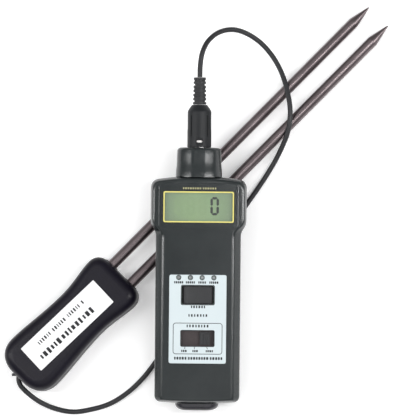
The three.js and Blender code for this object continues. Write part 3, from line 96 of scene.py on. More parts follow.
class Shade:
    """A procedural material: one Principled shader and short calls for the nodes that feed it."""

    def __init__(self, name, rough=0.5, metallic=0.0, **fixed):
        self.material = bpy.data.materials.new(name)
        self.material.use_nodes = True
        self.tree = self.material.node_tree
        self.shader = self.tree.nodes["Principled BSDF"]
        named = {key.replace("_", " "): value for key, value in fixed.items()}
        self.set(Roughness=rough, Metallic=metallic, **named)
        self.object_place = self.tree.nodes.new("ShaderNodeTexCoord").outputs["Object"]

    def set(self, **values):
        for socket, value in values.items():
            self.shader.inputs[socket].default_value = value

    def link(self, source, target):
        self.tree.links.new(source, target)

    def node(self, kind, inputs=None, **properties):
        made = self.tree.nodes.new("ShaderNode" + kind)
        for key, value in properties.items():
            setattr(made, key, value)
        for key, value in (inputs or {}).items():
            if isinstance(value, bpy.types.NodeSocket):
                self.link(value, made.inputs[key])
            else:
                made.inputs[key].default_value = value
        return made

    def place(self, turn=0.0, scale=(1, 1, 1)):
        """Object coordinates, turned about the vertical and stretched."""
        turned = self.node("Mapping", {"Vector": self.object_place, "Rotation": (0, 0, turn)})
        return self.node("Mapping", {"Vector": turned.outputs[0], "Scale": scale}).outputs[0]

    def noise(self, scale, detail=2.0, rough=0.5, place=None):
        return self.node("TexNoise", {"Vector": place or self.object_place, "Scale": scale, "Detail": detail,
                                      "Roughness": rough}).outputs["Fac"]

    def cells(self, scale, place=None):
        return self.node("TexVoronoi", {"Vector": place or self.object_place, "Scale": scale}).outputs["Distance"]

    def spread(self, value, low, high, start=0.3, end=0.7):
        """A value from start to end, mapped to low to high."""
        return self.node("MapRange", {"Value": value, "From Min": start, "From Max": end, "To Min": low,
                                      "To Max": high}).outputs[0]

    def blend(self, factor, first, second):
        mixed = self.node("Mix", data_type="RGBA")
        for socket, value in ((mixed.inputs[0], factor), (mixed.inputs[6], first), (mixed.inputs[7], second)):
            if isinstance(value, bpy.types.NodeSocket):
                self.link(value, socket)
            else:
                socket.default_value = (*value, 1) if isinstance(value, tuple) and len(value) == 3 else value
        return mixed.outputs[2]

    def colour(self, source):
        self.link(source, self.shader.inputs["Base Color"])

    def rough(self, source):
        self.link(source, self.shader.inputs["Roughness"])

    def bump(self, *layers):
        """Layers of (height, strength, distance in metres), one on another."""
        normal = None
        for height, strength, distance in layers:
            made = self.node("Bump", {"Height": height, "Strength": strength, "Distance": distance})
            if normal is not None:
                self.link(normal, made.inputs["Normal"])
            normal = made.outputs[0]
        self.link(normal, self.shader.inputs["Normal"])


def moulded(name, dark, light, rough=(0.45, 0.6), grain=2200, depth=0.00006, strength=0.35, speckle=0.25, **fixed):
    """Moulded plastic: soft mottling, a fine spark-eroded grain and worn, slightly glossier patches."""
    shade = Shade(name, **fixed)
    broad = shade.noise(55, 4.0, 0.6)
    fine = shade.noise(grain, 3.0, 0.65)
    pits = shade.cells(grain * 0.55)
    tone = shade.blend(shade.spread(broad, 0, 1), dark, light)
    pale = tuple(min(1, 2.2 * c) for c in light)
    shade.colour(shade.blend(shade.spread(fine, 0, speckle, 0.45, 0.75), tone, pale))
    smudge = shade.noise(26, 5.0, 0.65)
    shade.rough(shade.spread(smudge, rough[0], rough[1], 0.25, 0.75))
    shade.bump((broad, 0.08, 0.0004), (pits, strength * 0.6, depth), (fine, strength, depth))
    return shade.material


def sheet_stock(name, base, shadow, rough=0.38):
    """Printed plastic film: near-uniform white with faint mottling and a light orange-peel surface."""
    shade = Shade(name, rough)
    broad = shade.noise(70, 3.0)
    fine = shade.noise(1500, 2.0)
    shade.colour(shade.blend(shade.spread(broad, 0, 0.5), base, shadow))
    shade.rough(shade.spread(fine, rough - 0.06, rough + 0.08))
    shade.bump((broad, 0.05, 0.0003), (fine, 0.08, 0.00003))
    return shade.material


def printed(name, base, thin, rough=0.45, gloss=0.25):
    """Screen-printed ink, slightly uneven in density."""
    shade = Shade(name, rough, Specular_IOR_Level=gloss)
    density = shade.noise(2600, 3.0, 0.7)
    shade.colour(shade.blend(shade.spread(density, 0, 0.35, 0.4, 0.75), base, thin))
    shade.bump((density, 0.15, 0.00002))
    return shade.material


def drawn_steel(name, base, tint, rough=(0.16, 0.3), turn=PROBE_TURN, along=14, across=2200):
    """Metal with fine lines along its length and faint cloudy staining."""
    shade = Shade(name, metallic=1.0)
    lines = shade.noise(1.0, 3.0, 0.6, shade.place(-turn, (along, across, across)))
    stain = shade.noise(45, 5.0, 0.6)
    shade.colour(shade.blend(shade.spread(stain, 0, 1, 0.35, 0.7), base, tint))
    shade.rough(shade.spread(lines, rough[0], rough[1]))
    shade.bump((lines, 0.12, 0.00003), (stain, 0.03, 0.0002))
    return shade.material


def rubber(name, dark, light, rough=(0.42, 0.62)):
    shade = Shade(name)
    broad, fine = shade.noise(90, 4.0), shade.noise(3200, 2.0, 0.6)
    shade.colour(shade.blend(shade.spread(broad, 0, 1), dark, light))
    shade.rough(shade.spread(broad, rough[0], rough[1]))
    shade.bump((fine, 0.2, 0.00003))
    return shade.material


def gloss_black():
    shade = Shade("gloss_black", 0.2, Coat_Weight=0.2, Coat_Roughness=0.15)
    haze, dust = shade.noise(40, 4.0), shade.noise(1800, 4.0, 0.7)
    shade.colour(shade.blend(shade.spread(haze, 0, 1), (0.010, 0.010, 0.014), (0.024, 0.023, 0.030)))
    shade.rough(shade.spread(dust, 0.2, 0.34, 0.35, 0.7))
    shade.bump((haze, 0.04, 0.0004))
    return shade.material


def window_sheet():
    shade = Shade("window", 0.06, Alpha=0.05)
    haze = shade.noise(120, 3.0)
    shade.colour(shade.blend(shade.spread(haze, 0, 1), (0.85, 0.92, 0.85), (0.75, 0.85, 0.78)))
    shade.rough(shade.spread(haze, 0.04, 0.1))
    return shade.material


def liquid_crystal():
    """The display's glass: grey-green, with painted shade that darkens it towards its ends, and a fine reflector
    grain.
    """
    shade = Shade("lcd", 0.3)
    centre = METER @ Vector((0, 126.6, 23))
    shifted = shade.node("Mapping", {"Vector": shade.object_place, "Location": tuple(-centre)}).outputs[0]
    reach = shade.node("VectorMath", {0: shifted}, operation="LENGTH").outputs["Value"]
    broad, grain = shade.noise(38, 3.0), shade.noise(3800, 2.0)
    green = shade.blend(shade.spread(broad, 0, 0.6), (0.165, 0.265, 0.105), (0.135, 0.225, 0.10))
    # painted shade: the green darkens towards the display's two ends, away from its middle
    painted_end_shade = shade.blend(shade.spread(reach, 0, 0.75, 0.008, 0.026), green, (0.085, 0.135, 0.075))
    shade.colour(shade.blend(shade.spread(grain, 0, 0.14), painted_end_shade, (0.22, 0.32, 0.16)))
    shade.rough(shade.spread(grain, 0.26, 0.4))
    shade.bump((grain, 0.06, 0.00002))
    return shade.material


def banded(name, first, second, scale, rough=0.5, metallic=0.0):
    """Bands of two colours along one direction, softened by noise."""
    shade = Shade(name, rough, metallic)
    bands = shade.node("TexWave", {"Vector": shade.object_place, "Scale": scale, "Distortion": 0.4,
                                   "Detail": 2.0})
    grain = shade.noise(1500, 2.0)
    shade.colour(shade.blend(bands.outputs["Fac"], first, second))
    shade.rough(shade.spread(grain, rough - 0.08, rough + 0.1))
    shade.bump((grain, 0.1, 0.00003))
    return shade.material


def circuit_board():
    shade = Shade("board", 0.35)
    tracks = shade.node("TexBrick", {"Vector": shade.object_place, "Scale": 260.0, "Mortar Size": 0.05,
                                     "Color1": (0.012, 0.10, 0.045, 1), "Color2": (0.016, 0.13, 0.06, 1),
                                     "Mortar": (0.05, 0.22, 0.10, 1)})
    grain = shade.noise(900, 3.0)
    shade.colour(shade.blend(shade.spread(grain, 0, 0.3), tracks.outputs["Color"], (0.01, 0.07, 0.03)))
    shade.rough(shade.spread(grain, 0.28, 0.45))
    shade.bump((tracks.outputs["Fac"], 0.2, 0.00004))
    return shade.material


MATERIALS = {
    "case_plastic": moulded("case_plastic", (0.0135, 0.0175, 0.0185), (0.018, 0.0225, 0.0235), (0.17, 0.215),
                            speckle=0.05, Specular_IOR_Level=0.45),
    "handle_plastic": moulded("handle_plastic", (0.0026, 0.0020, 0.0052), (0.0052, 0.0042, 0.0100), (0.3, 0.4),
                              Specular_IOR_Level=0.22,
                              grain=1500, depth=0.00008, strength=0.45, speckle=0.35),
    "dark_plastic": moulded("dark_plastic", (0.0080, 0.0092, 0.0108), (0.0115, 0.0128, 0.015), (0.38, 0.48),
                            speckle=0.06, Specular_IOR_Level=0.25),
    "black_rubber": rubber("black_rubber", (0.0075, 0.0078, 0.0098), (0.013, 0.0132, 0.016)),
    "gloss_black": gloss_black(),
    "button_plastic": moulded("button_plastic", (0.029, 0.030, 0.032), (0.038, 0.039, 0.041), (0.4, 0.52),
                              Specular_IOR_Level=0.2,
                              grain=2600, speckle=0.12),
    "label_sheet": sheet_stock("label_sheet", (0.58, 0.655, 0.675), (0.545, 0.62, 0.645)),
    "window": window_sheet(),
    "lcd": liquid_crystal(),
    "zebra": banded("zebra", (0.5, 0.47, 0.4), (0.05, 0.05, 0.05), 700.0),
    "lamp": moulded("lamp", (0.17, 0.185, 0.185), (0.24, 0.26, 0.26), (0.12, 0.2), grain=900, strength=0.05),
    "rod_steel": drawn_steel("rod_steel", (0.175, 0.148, 0.152), (0.12, 0.098, 0.102), (0.26, 0.38)),
    "small_steel": drawn_steel("small_steel", (0.62, 0.61, 0.60), (0.45, 0.44, 0.43), (0.22, 0.38), 0.0, 300, 1500),
    "brass": drawn_steel("brass", (0.72, 0.52, 0.20), (0.58, 0.40, 0.15), (0.2, 0.36), 0.0, 400, 1200),
    "cell": banded("cell", (0.62, 0.36, 0.06), (0.42, 0.24, 0.04), 60.0, 0.3, 0.6),
    "board": circuit_board(),
    "chip": moulded("chip", (0.014, 0.014, 0.015), (0.022, 0.022, 0.023), grain=3000),
    "carrier": moulded("carrier", (0.60, 0.56, 0.45), (0.68, 0.64, 0.54), grain=1800, speckle=0.05),
}
SHUTTER = moulded("shutter_plastic", (0.040, 0.032, 0.034), (0.055, 0.043, 0.043), (0.4, 0.55), grain=2600,
                  Specular_IOR_Level=0.3)
STICKER = sheet_stock("sticker_stock", (0.86, 0.86, 0.87), (0.81, 0.81, 0.83), 0.42)
DARK_INK = printed("dark_ink", (0.018, 0.021, 0.024), (0.05, 0.056, 0.062))
BLACK_INK = printed("black_ink", (0.010, 0.010, 0.012), (0.05, 0.05, 0.055))
YELLOW_INK = printed("yellow_ink", (0.78, 0.70, 0.20), (0.60, 0.52, 0.14))
PALE_INK = printed("pale_ink", (0.40, 0.38, 0.20), (0.30, 0.28, 0.14))
SEGMENT_ON = printed("segment_on", (0.002, 0.003, 0.0025), (0.003, 0.005, 0.004), 0.6, 0.0)
SEGMENT_OFF = printed("segment_off", (0.152, 0.246, 0.099), (0.160, 0.256, 0.104), 0.32, 0.5)

for cad_node in frame["nodes"].values():
    for holder in cad_node.material_slots:
        holder.material = MATERIALS[holder.material.name.split(".")[0]]

# ---- smooth shading for the CAD nodes that stay


def soft_shading():
    """A node group that welds a mesh and shades it smooth, apart from edges sharper than 40 degrees."""
    group = bpy.data.node_groups.new("soft_shading", "GeometryNodeTree")
    group.interface.new_socket("Geometry", in_out="INPUT", socket_type="NodeSocketGeometry")
    group.interface.new_socket("Geometry", in_out="OUTPUT", socket_type="NodeSocketGeometry")
    add = group.nodes.new
    entry, leave = add("NodeGroupInput"), add("NodeGroupOutput")
    bare = add("GeometryNodeRemoveAttribute")
    bare.inputs["Name"].default_value = "custom_normal"
    weld = add("GeometryNodeMergeByDistance")
    weld.inputs["Distance"].default_value = 2e-6
    faces, edges = add("GeometryNodeSetShadeSmooth"), add("GeometryNodeSetShadeSmooth")
    edges.domain = "EDGE"
    edges.inputs["Shade Smooth"].default_value = False
    angle, sharp = add("GeometryNodeInputMeshEdgeAngle"), add("FunctionNodeCompare")
    sharp.inputs["B"].default_value = math.radians(40)
    chain = [entry, bare, weld, faces, edges, leave]
    for first, second in zip(chain, chain[1:]):
        target = second.inputs["Geometry"] if "Geometry" in second.inputs else second.inputs[0]
        group.links.new(first.outputs[0], target)
    group.links.new(angle.outputs["Unsigned Angle"], sharp.inputs["A"])
    group.links.new(sharp.outputs[0], edges.inputs["Selection"])
    return group


SOFT = soft_shading()
for cad_node in frame["nodes"].values():
    cad_node.modifiers.new("soft_shading", "NODES").node_group = SOFT

# ---- mesh helpers, in local millimetres


def raw(name, verts, faces):
    mesh = bpy.data.meshes.new(name)
    mesh.from_pydata([tuple(v) for v in verts], [], faces)
    mesh.update()
    made = bpy.data.objects.new(name, mesh)
    scene.collection.objects.link(made)
    return made


def loft(name, rings):
    """A closed body through rings of equally many points, each counter-clockwise seen from the end it rises to."""
    count = len(rings[0])
    verts = [point for ring in rings for point in ring]
    faces = [tuple(reversed(range(count)))]
    for level in range(len(rings) - 1):
        low, high = level * count, (level + 1) * count
        faces += [(low + k, low + (k + 1) % count, high + (k + 1) % count, high + k) for k in range(count)]
    faces.append(tuple(range(len(verts) - count, len(verts))))
    return raw(name, verts, faces)


def prism(name, outline, low, high):
    return loft(name, [[(x, y, z) for x, y in outline] for z in (low, high)])


def rounded(width, height, radius, x=0.0, y=0.0, steps=5):
    """A rectangle's outline with round corners, counter-clockwise."""
    points = []
    for sx, sy, start in ((1, -1, -90), (1, 1, 0), (-1, 1, 90), (-1, -1, 180)):
        for step in range(steps + 1):
            angle = math.radians(start + 90 * step / steps)
            points.append((x + sx * (width / 2 - radius) + radius * math.cos(angle),
                           y + sy * (height / 2 - radius) + radius * math.sin(angle)))
    return points


def circle(radius, x=0.0, y=0.0, sides=32):
    return [(x + radius * math.cos(2 * math.pi * k / sides), y + radius * math.sin(2 * math.pi * k / sides))
            for k in range(sides)]


def turned(name, profile, sides=48, axis="y", centre=(0, 0, 0)):
    """A closed body of revolution through (radius, height) points along an axis; radius 0 makes a pole."""
    verts, faces, rows = [], [], []
    for radius, height in profile:
        if radius == 0:
            rows.append([len(verts)] * sides)
            verts.append((0, 0, height))
        else:
            rows.append(list(range(len(verts), len(verts) + sides)))
            verts += [(x, y, height) for x, y in circle(radius, sides=sides)]
    for low, high in zip(rows, rows[1:]):
        for k in range(sides):
            corners = [low[k], low[(k + 1) % sides], high[(k + 1) % sides], high[k]]
            faces.append(tuple(dict.fromkeys(corners)))
    for row, flip in ((rows[0], True), (rows[-1], False)):
        if len(set(row)) > 1:
            faces.append(tuple(reversed(row)) if flip else tuple(row))
    swap = {"x": lambda v: (v[2], v[0], v[1]), "y": lambda v: (v[1], v[2], v[0]), "z": lambda v: v}[axis]
    verts = [tuple(a + b for a, b in zip(swap(v), centre)) for v in verts]
    return raw(name, verts, faces)


def bake(piece):
    """Applies a piece's modifiers to its mesh."""
    graph = bpy.context.evaluated_depsgraph_get()
    mesh = bpy.data.meshes.new_from_object(piece.evaluated_get(graph))
    piece.modifiers.clear()
    piece.data = mesh


def combine(base, tools, operation="DIFFERENCE"):
    for tool in tools:
        step = base.modifiers.new("combine", "BOOLEAN")
        step.object, step.operation, step.solver = tool, operation, "EXACT"
    bake(base)
    for tool in tools:
        bpy.data.objects.remove(tool)
    return base


def softened(piece, width=0.2, segments=2, angle=35):
    """Small rounds on a piece's sharp edges."""
    step = piece.modifiers.new("edges", "BEVEL")
    step.width, step.segments, step.limit_method, step.angle_limit = width, segments, "ANGLE", math.radians(angle)
    bake(piece)
    return piece


def joined(name, parts):
    """Several bodies as one mesh, without welding them."""
    verts, faces = [], []
    for part in parts:
        base = len(verts)
        verts += [tuple(v.co) for v in part.data.vertices]
        faces += [tuple(base + k for k in face.vertices) for face in part.data.polygons]
        bpy.data.objects.remove(part)
    return raw(name, verts, faces)


def settle(piece, where, body, slot, material=None, replaces=(), smooth=35):
    """Puts a finished piece in its place: metres, material, shading and body."""
    piece.data.transform(where)
    piece.data.materials.clear()
    piece.data.materials.append(material or MATERIALS[slot])
    piece.data.polygons.foreach_set("use_smooth", [True] * len(piece.data.polygons))
    piece.data.set_sharp_from_angle(angle=math.radians(smooth))
    piece.modifiers.new("normals", "WEIGHTED_NORMAL").keep_sharp = True
    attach(piece, body)
    if replaces:
        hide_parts(*replaces)
    return piece


# ---- meter case

GRIP, HEAD, LENGTH = 27.5, 31.0, 144.0  # half widths, and height of the head's corners
SHOULDER, HEAD_LOW = 107.3, 118.5  # where the grip starts to widen, and where it is as wide as the head
SEAM = 13.0
FRONT = 26.0
WINDOW_Y, LABEL_Y, BUTTON_Y, SLOT_Y = 126.6, 54.5, 70, 42.1  # centres of what the front carries
LAMP_X, LAMP_PITCH, LAMP_Y = -12.4, 7.54, 81.2
LAMPS = [LAMP_X + LAMP_PITCH * k for k in range(4)]
CASE_SCREWS = [(22.3, 66), (-22.3, 66), (22.3, 104), (-22.3, 104)]
BAY_HALF, BAY_LOW, BAY_HIGH, BAY_TOP = 21.7, 6.5, 57.1, 13.4
DOOR_END = BAY_HIGH + 5.1


def bow(x):
    """How far the bottom edge lies above its middle."""
    return 1.1 * (abs(x) / GRIP) ** 2.4


def curve_points(controls, steps, last=False):
    """Points on a Bezier curve of any degree, without its end unless last is set."""
    points = []
    for step in range(steps + (1 if last else 0)):
        level = [Vector(c) for c in controls]
        while len(level) > 1:
            level = [a.lerp(b, step / steps) for a, b in zip(level, level[1:])]
        points.append(tuple(level[0]))
    return points


def case_outline(side, head=None, low=None, high=None):
    """The case seen from the front, pulled in by separate amounts at the grip, head, bottom and top."""
    head = side if head is None else head
    low = side if low is None else low
    high = side if high is None else high
    grip, wide, corner = GRIP - side, HEAD - head, LENGTH - high
    rx, ry, turn = max(4 - side, 0.6), max(4 - low, 0.6), max(5.4 - 0.4 * head, 2)
    half = [((grip - rx) * k / 6, low + bow((grip - rx) * k / 6)) for k in range(6)]
    foot = low + bow(grip - rx)
    for k in range(7):
        angle = math.pi / 12 * k
        half.append((grip - rx + rx * math.sin(angle), foot + ry - ry * math.cos(angle)))
    half += [(grip, 30), (grip, 60), (grip, 85)]
    bend = (SHOULDER + HEAD_LOW) / 2
    half += curve_points([(grip, SHOULDER), (grip, bend), (wide, bend), (wide, HEAD_LOW)], 12)
    half += [(wide, HEAD_LOW), (wide, 128)]
    half += curve_points([(wide, corner - turn), (wide, corner), (wide - turn, corner + 0.75)], 7)
    half += curve_points([(wide - turn, corner + 0.75), (0, corner + 4.5), (turn - wide, corner + 0.75)], 16)[:9]
    return half + [(-x, y) for x, y in reversed(half[1:-1])]


def case_ring(z, *insets):
    return [(x, y, z) for x, y in case_outline(*insets)]


def rear_rings():
    """The back's rounding, from the flat back up to the seam."""
    rings = []
    for step in range(7):
        angle = math.pi / 12 * step
        rings.append(case_ring(3.6 * (1 - math.cos(angle)), 3.6 * (1 - math.sin(angle))))
    return rings


def front_blank():
    return loft("front_shell", [
        case_ring(13.15, 0.3), case_ring(13.5, 0.0), case_ring(19.6, 0.12, 0.1, 0.1, 0.1),
        case_ring(20.8, 0.3, 0.2, 0.3, 0.25), case_ring(21.6, 0.75, 0.35, 0.6, 0.45),
        case_ring(23.4, 2.45, 0.8, 1.0, 0.9), case_ring(24.7, 3.55, 1.15, 1.5, 1.3),
        case_ring(25.35, 4.25, 1.55, 1.9, 1.75), case_ring(25.72, 4.85, 2.0, 2.4, 2.2),
        case_ring(25.92, 5.45, 2.6, 3.0, 2.8), case_ring(FRONT, 6.1, 3.3, 3.7, 3.5)])


BUTTON_HOLE = rounded(20.8, 12, 0.8, y=BUTTON_Y)
SLOT_HOLE = rounded(21.2, 9.9, 0.8, y=SLOT_Y)


def front_shell():
    shell = front_blank()
    head_panel = loft("head_panel", [[(x, y, z) for x, y in rounded(51.2 - 2 * inset, 29.6 - 2 * inset, 2.2, y=127)]
                                     for z, inset in ((25.5, 0), (26.05, 0), (26.22, 0.35))])
    combine(shell, [head_panel], "UNION")
    cavity = loft("cavity", [case_ring(12, 2.4), case_ring(19, 2.6), case_ring(23.6, 7.2, 3.8, 4, 4)])
    tools = [cavity,
             prism("lens_seat", rounded(46.3, 20.9, 1.4, y=WINDOW_Y), 24.4, 30),
             prism("window_hole", rounded(44.8, 19.4, 0.9, y=WINDOW_Y), 20, 30),
             prism("label_seat", rounded(37.3, 57.5, 1.4, y=LABEL_Y), 25.3, 30),
             prism("button_hole", BUTTON_HOLE, 20, 30),
             prism("slot_hole", SLOT_HOLE, 20, 30),
             turned("socket_bore", [(6.5, 139), (6.5, 150)], 32, centre=(0, 0, SEAM))]
    tools += [prism("lamp_hole", circle(1.5, x, LAMP_Y, 20), 20, 30) for x in LAMPS]
    combine(shell, tools)
    softened(shell, 0.22)
    return settle(shell, METER, "meter", "case_plastic", replaces=["front_case"], smooth=30)


def box(name, low, high, round_by=0.0):
    """A block between two corners, with its upright edges rounded."""
    centre = [(a + b) / 2 for a, b in zip(low, high)]
    size = [b - a for a, b in zip(low, high)]
    if round_by:
        return prism(name, rounded(size[0], size[1], round_by, centre[0], centre[1], 3), low[2], high[2])
    corners = [(low[0], low[1]), (high[0], low[1]), (high[0], high[1]), (low[0], high[1])]
    return prism(name, corners, low[2], high[2])


front_shell()

# ---- meter case: back, door, collar, bottom plug


def rear_shell():
    shell = loft("rear_shell", rear_rings() + [case_ring(12.5, 0.0), case_ring(12.85, 0.3)])
    cavity = loft("cavity", [case_ring(2.4, 4.4), case_ring(4.0, 2.9), case_ring(5.5, 2.4), case_ring(14, 2.4)])
    combine(shell, [cavity])
    walls = box("bay_walls", (-BAY_HALF - 1.4, BAY_LOW - 1.4, 1.2), (BAY_HALF + 1.4, BAY_HIGH + 1.4, 14.6))
    posts = [turned("post", [(4, 1.2), (4, 12.8)], 24, "z", (x, y, 0)) for x, y in CASE_SCREWS]
    combine(shell, [walls, *posts], "UNION")
    door_end = DOOR_END + 0.3
    tools = [box("bay", (-BAY_HALF, BAY_LOW, -1), (BAY_HALF, BAY_HIGH, BAY_TOP)),
             box("rebate", (-21.3, -2, -1), (21.3, door_end, 2.3)),
             box("rails", (-22.3, -2, 0.9), (22.3, door_end, 2.3)),
             turned("socket_bore", [(6.5, 139), (6.5, 150)], 32, centre=(0, 0, SEAM))]
    tools += pegs(CASE_SCREWS, 2.7, -1, 2.6)
    combine(shell, tools)
    softened(shell, 0.2)
    return settle(shell, METER, "meter", "case_plastic", replaces=["rear_case"], smooth=30)


def pegs(places, radius, low, high, steps=28):
    """Upright cylinders at the places: posts, or the wells of screw heads."""
    return [turned("peg", [(radius, low), (radius, high)], steps, "z", (x, y, 0)) for x, y in places]


def arrow(name, y, half, length, low, high):
    """A plain triangle that points towards the bottom end."""
    return prism(name, [(-half, y + length), (0, y), (half, y + length)], low, high)


def door():
    """The sliding door: its plate and lips, with finger grooves, an arrow and a rounded bottom edge."""
    plate = box("battery_cover", (-21, -1, -1), (21, DOOR_END, 2))
    combine(plate, [box("lips", (-22, -1, 1.2), (22, DOOR_END, 2))], "UNION")
    outside = loft("outside", rear_rings() + [case_ring(12, 0.0)])
    combine(plate, [outside], "INTERSECT")
    grooves = [prism("groove", rounded(18, 1.3, 0.6, 0, 14.6 + 3 * k, 4), -1, 0.55) for k in range(5)]
    combine(plate, [*grooves, arrow("arrow", 5.0, 3.2, 4.6, -1, 0.35)])
    softened(plate, 0.16)
    return settle(plate, METER, "battery_door", "case_plastic", replaces=["battery_door"], smooth=30)


def oval(half_width, half_depth, y, steps=16):
    """A flat-sided oval across the meter's long axis, at one place along it."""
    bend = min(half_width, half_depth) - 0.6
    outline = rounded(2 * half_width, 2 * half_depth, bend, steps=steps)
    return [(x, y, SEAM + z) for x, z in reversed(outline)]


def collar():
    rows = [(145.8, 15.0, 12.5), (148.6, 14.98, 12.45), (150.6, 14.85, 12.15), (152.6, 14.6, 11.8),
            (155.5, 14.4, 11.6), (160.2, 14.3, 11.5)]
    rim, rim_start = 2.4, 162.55
    for step in range(1, 8):
        angle = math.pi / 14 * step
        inset = rim * (1 - math.cos(angle))
        rows.append((rim_start + rim * math.sin(angle), 14.25 - inset, 11.45 - inset))
    body = loft("neck_collar", [oval(width, depth, y) for y, width, depth in rows])
    over_case = loft("over_case", [case_ring(z, i) for z, i in ((0.9, 1.3), (3.6, 0), (22.4, 0), (25, 1.3))])
    bore = turned("bore", [(6.5, 140), (6.5, 168)], 40, centre=(0, 0, SEAM))
    combine(body, [over_case, bore])
    softened(body, 0.15, angle=50)
    return settle(body, METER, "meter", "case_plastic", replaces=["collar"], smooth=40)


def foot_plug():
    """The glossy cap in the bottom end, a shallow dome."""
    rows = [(2.6, 11, 3.5), (-0.25, 11, 3.5), (-0.3, 14, 6.5)]
    for step in range(10):
        angle = math.pi / 18 * step
        rows.append((-0.5 - 4.15 * math.sin(angle), 8 + 6 * math.cos(angle), 2.9 + 3.6 * math.cos(angle)))
    body = loft("foot_plug", [list(reversed(oval(width, depth, y))) for y, width, depth in rows])
    return settle(body, METER, "meter", "gloss_black", replaces=["bottom_plug"], smooth=50)


rear_shell()
door()
collar()
foot_plug()

# ---- window, display and label

def outline_band(name, outer, inner, low, high):
    """A flat band between two outlines of equally many points."""
    count = len(outer)
    verts = [(x, y, z) for z in (low, high) for ring in (outer, inner) for x, y in ring]
    faces = []
    for k in range(count):
        n = (k + 1) % count
        faces += [(2 * count + k, 2 * count + n, 3 * count + n, 3 * count + k), (count + k, count + n, n, k),
                  (k, n, 2 * count + n, 2 * count + k), (3 * count + k, 3 * count + n, count + n, count + k)]
    return raw(name, verts, faces)


lens = loft("display_window", [[(x, y, z) for x, y in rounded(45.8 - 2 * i, 20.4 - 2 * i, 1.2 - i, y=WINDOW_Y)]
                               for z, i in ((24.6, 0), (25.65, 0), (25.8, 0.15))])
settle(lens, METER, "meter", "window", replaces=["display_lens"])
yellow_line = outline_band("window_line", rounded(45.3, 19.9, 1.1, y=WINDOW_Y),
                           rounded(43.8, 18.4, 0.7, y=WINDOW_Y), 25.8, 25.86)
settle(yellow_line, METER, "meter", "window", YELLOW_INK)

DIGIT_WIDTH, DIGIT_HEIGHT, STROKE = 5.5, 11.8, 1.6
DIGIT_X, DIGIT_Y, DIGIT_PITCH = 10.3, 127.2, 7.7  # the digit at the right, and the step to the left
LCD_FACE, HEAD_FACE, STICKER_FACE = 23.31, 26.22, 22.16  # heights that print lies on


def segment(x, y, length, upright):
    """One bar of a seven-segment digit, with pointed ends, on the display's surface."""
    half, thick = length / 2, STROKE / 2
    outline = [(-half, 0), (-half + thick, -thick), (half - thick, -thick), (half, 0), (half - thick, thick),
               (-half + thick, thick)]
    if upright:
        outline = [(-v, u) for u, v in outline]
    return prism("segment", [(x + u, y + v) for u, v in outline], LCD_FACE, LCD_FACE + 0.05)


def digit(name, x, bars, material):
    """A seven-segment digit centred on x; bars lists the segments that it shows, a to g."""
    w, h, gap = DIGIT_WIDTH / 2 - STROKE / 2, DIGIT_HEIGHT / 2 - STROKE / 2, 0.25
    places = {"a": (0, h, False), "b": (w, h / 2, True), "c": (w, -h / 2, True), "d": (0, -h, False),
              "e": (-w, -h / 2, True), "f": (-w, h / 2, True), "g": (0, 0, False)}
    parts = []
    for right, above, upright in (places[letter] for letter in bars):
        parts.append(segment(x + right, DIGIT_Y + above, (h if upright else 2 * w) - gap, upright))
    return settle(joined(name, parts), METER, "meter", "lcd", material)


digit("digit_shown", DIGIT_X, "abcdef", SEGMENT_ON)
for number in (1, 2, 3):
    digit(f"digit_unlit_{number}", DIGIT_X - DIGIT_PITCH * number, "abcdefg", SEGMENT_OFF)

label = prism("front_label", rounded(36.8, 57, 1.2, y=LABEL_Y), 25.4, 26.0)
label_holes = [BUTTON_HOLE, SLOT_HOLE] + [circle(1.45, x, LAMP_Y, 24) for x in LAMPS]
combine(label, [prism("hole", outline, 25, 27) for outline in label_holes])
softened(label, 0.08, 1)
settle(label, METER, "meter", "label_sheet", replaces=["label_panel"])

INK_LOW, INK_HIGH = 26.0, 26.03


def bars(middle, y, height, widths, gap=0.45, low=INK_LOW, high=INK_HIGH):
    """A centred row of plain bars of the given widths: stands for a line of print without any lettering."""
    x = middle - (sum(widths) + gap * (len(widths) - 1)) / 2
    made = []
    for width in widths:
        made.append(prism("bar", rounded(width, height, min(width, height) * 0.2, x + width / 2, y, 1), low, high))
        x += width + gap
    return made


def pattern(count, seed, base=0.74):
    """Bar widths that vary in a fixed way."""
    return [base + 0.36 * ((k * seed) % 5) / 4 for k in range(count)]


print_marks = []
for lamp_index, x in enumerate(LAMPS):
    print_marks += bars(x, 78.1, 1.5, pattern(5, 3 + lamp_index), 0.3)
print_marks += bars(0.2, 62.4, 1.7, pattern(6, 3), 0.75)
print_marks += bars(0.1, 56.9, 1.7, pattern(7, 3), 0.95)
print_marks += bars(0, 50.1, 1.75, pattern(8, 2), 0.95)
for middle, count in ((-8.6, 3), (-1.4, 3), (7.7, 4)):
    print_marks += bars(middle, 34.0, 1.4, pattern(count, 2), 0.35)
print_marks += bars(0.6, 29.3, 1.8, pattern(5, 3, 1) + [0.1] + pattern(8, 2, 1) + [0.1] + pattern(5, 4, 1), 0.5)
for x, lean in ((-8.2, 0.3), (-2.0, 0.15), (6.6, -0.9)):
    tick = [(x - 0.2, 35.3), (x + 0.2, 35.3), (x + 0.2 + lean, 36.9), (x - 0.2 + lean, 36.9)]
    print_marks.append(prism("tick", tick, INK_LOW, INK_HIGH))
print_marks.append(outline_band("frame", rounded(31.8, 20.2, 1.8, 0.1, 42.0), rounded(31.0, 19.4, 1.4, 0.1, 42.0),
                                INK_LOW, INK_HIGH))
for x in LAMPS:
    print_marks.append(outline_band("ring", circle(1.68, x, LAMP_Y), circle(1.48, x, LAMP_Y), INK_LOW, INK_HIGH))
for middle_y, width, height in ((BUTTON_Y, 21.8, 13), (SLOT_Y, 22.1, 10.8)):
    print_marks.append(outline_band("surround", rounded(width, height, 1.1, y=middle_y),
                                    rounded(width - 0.9, height - 0.9, 0.8, y=middle_y), INK_LOW, INK_HIGH))
settle(joined("label_print", print_marks), METER, "meter", "label_sheet", DARK_INK)
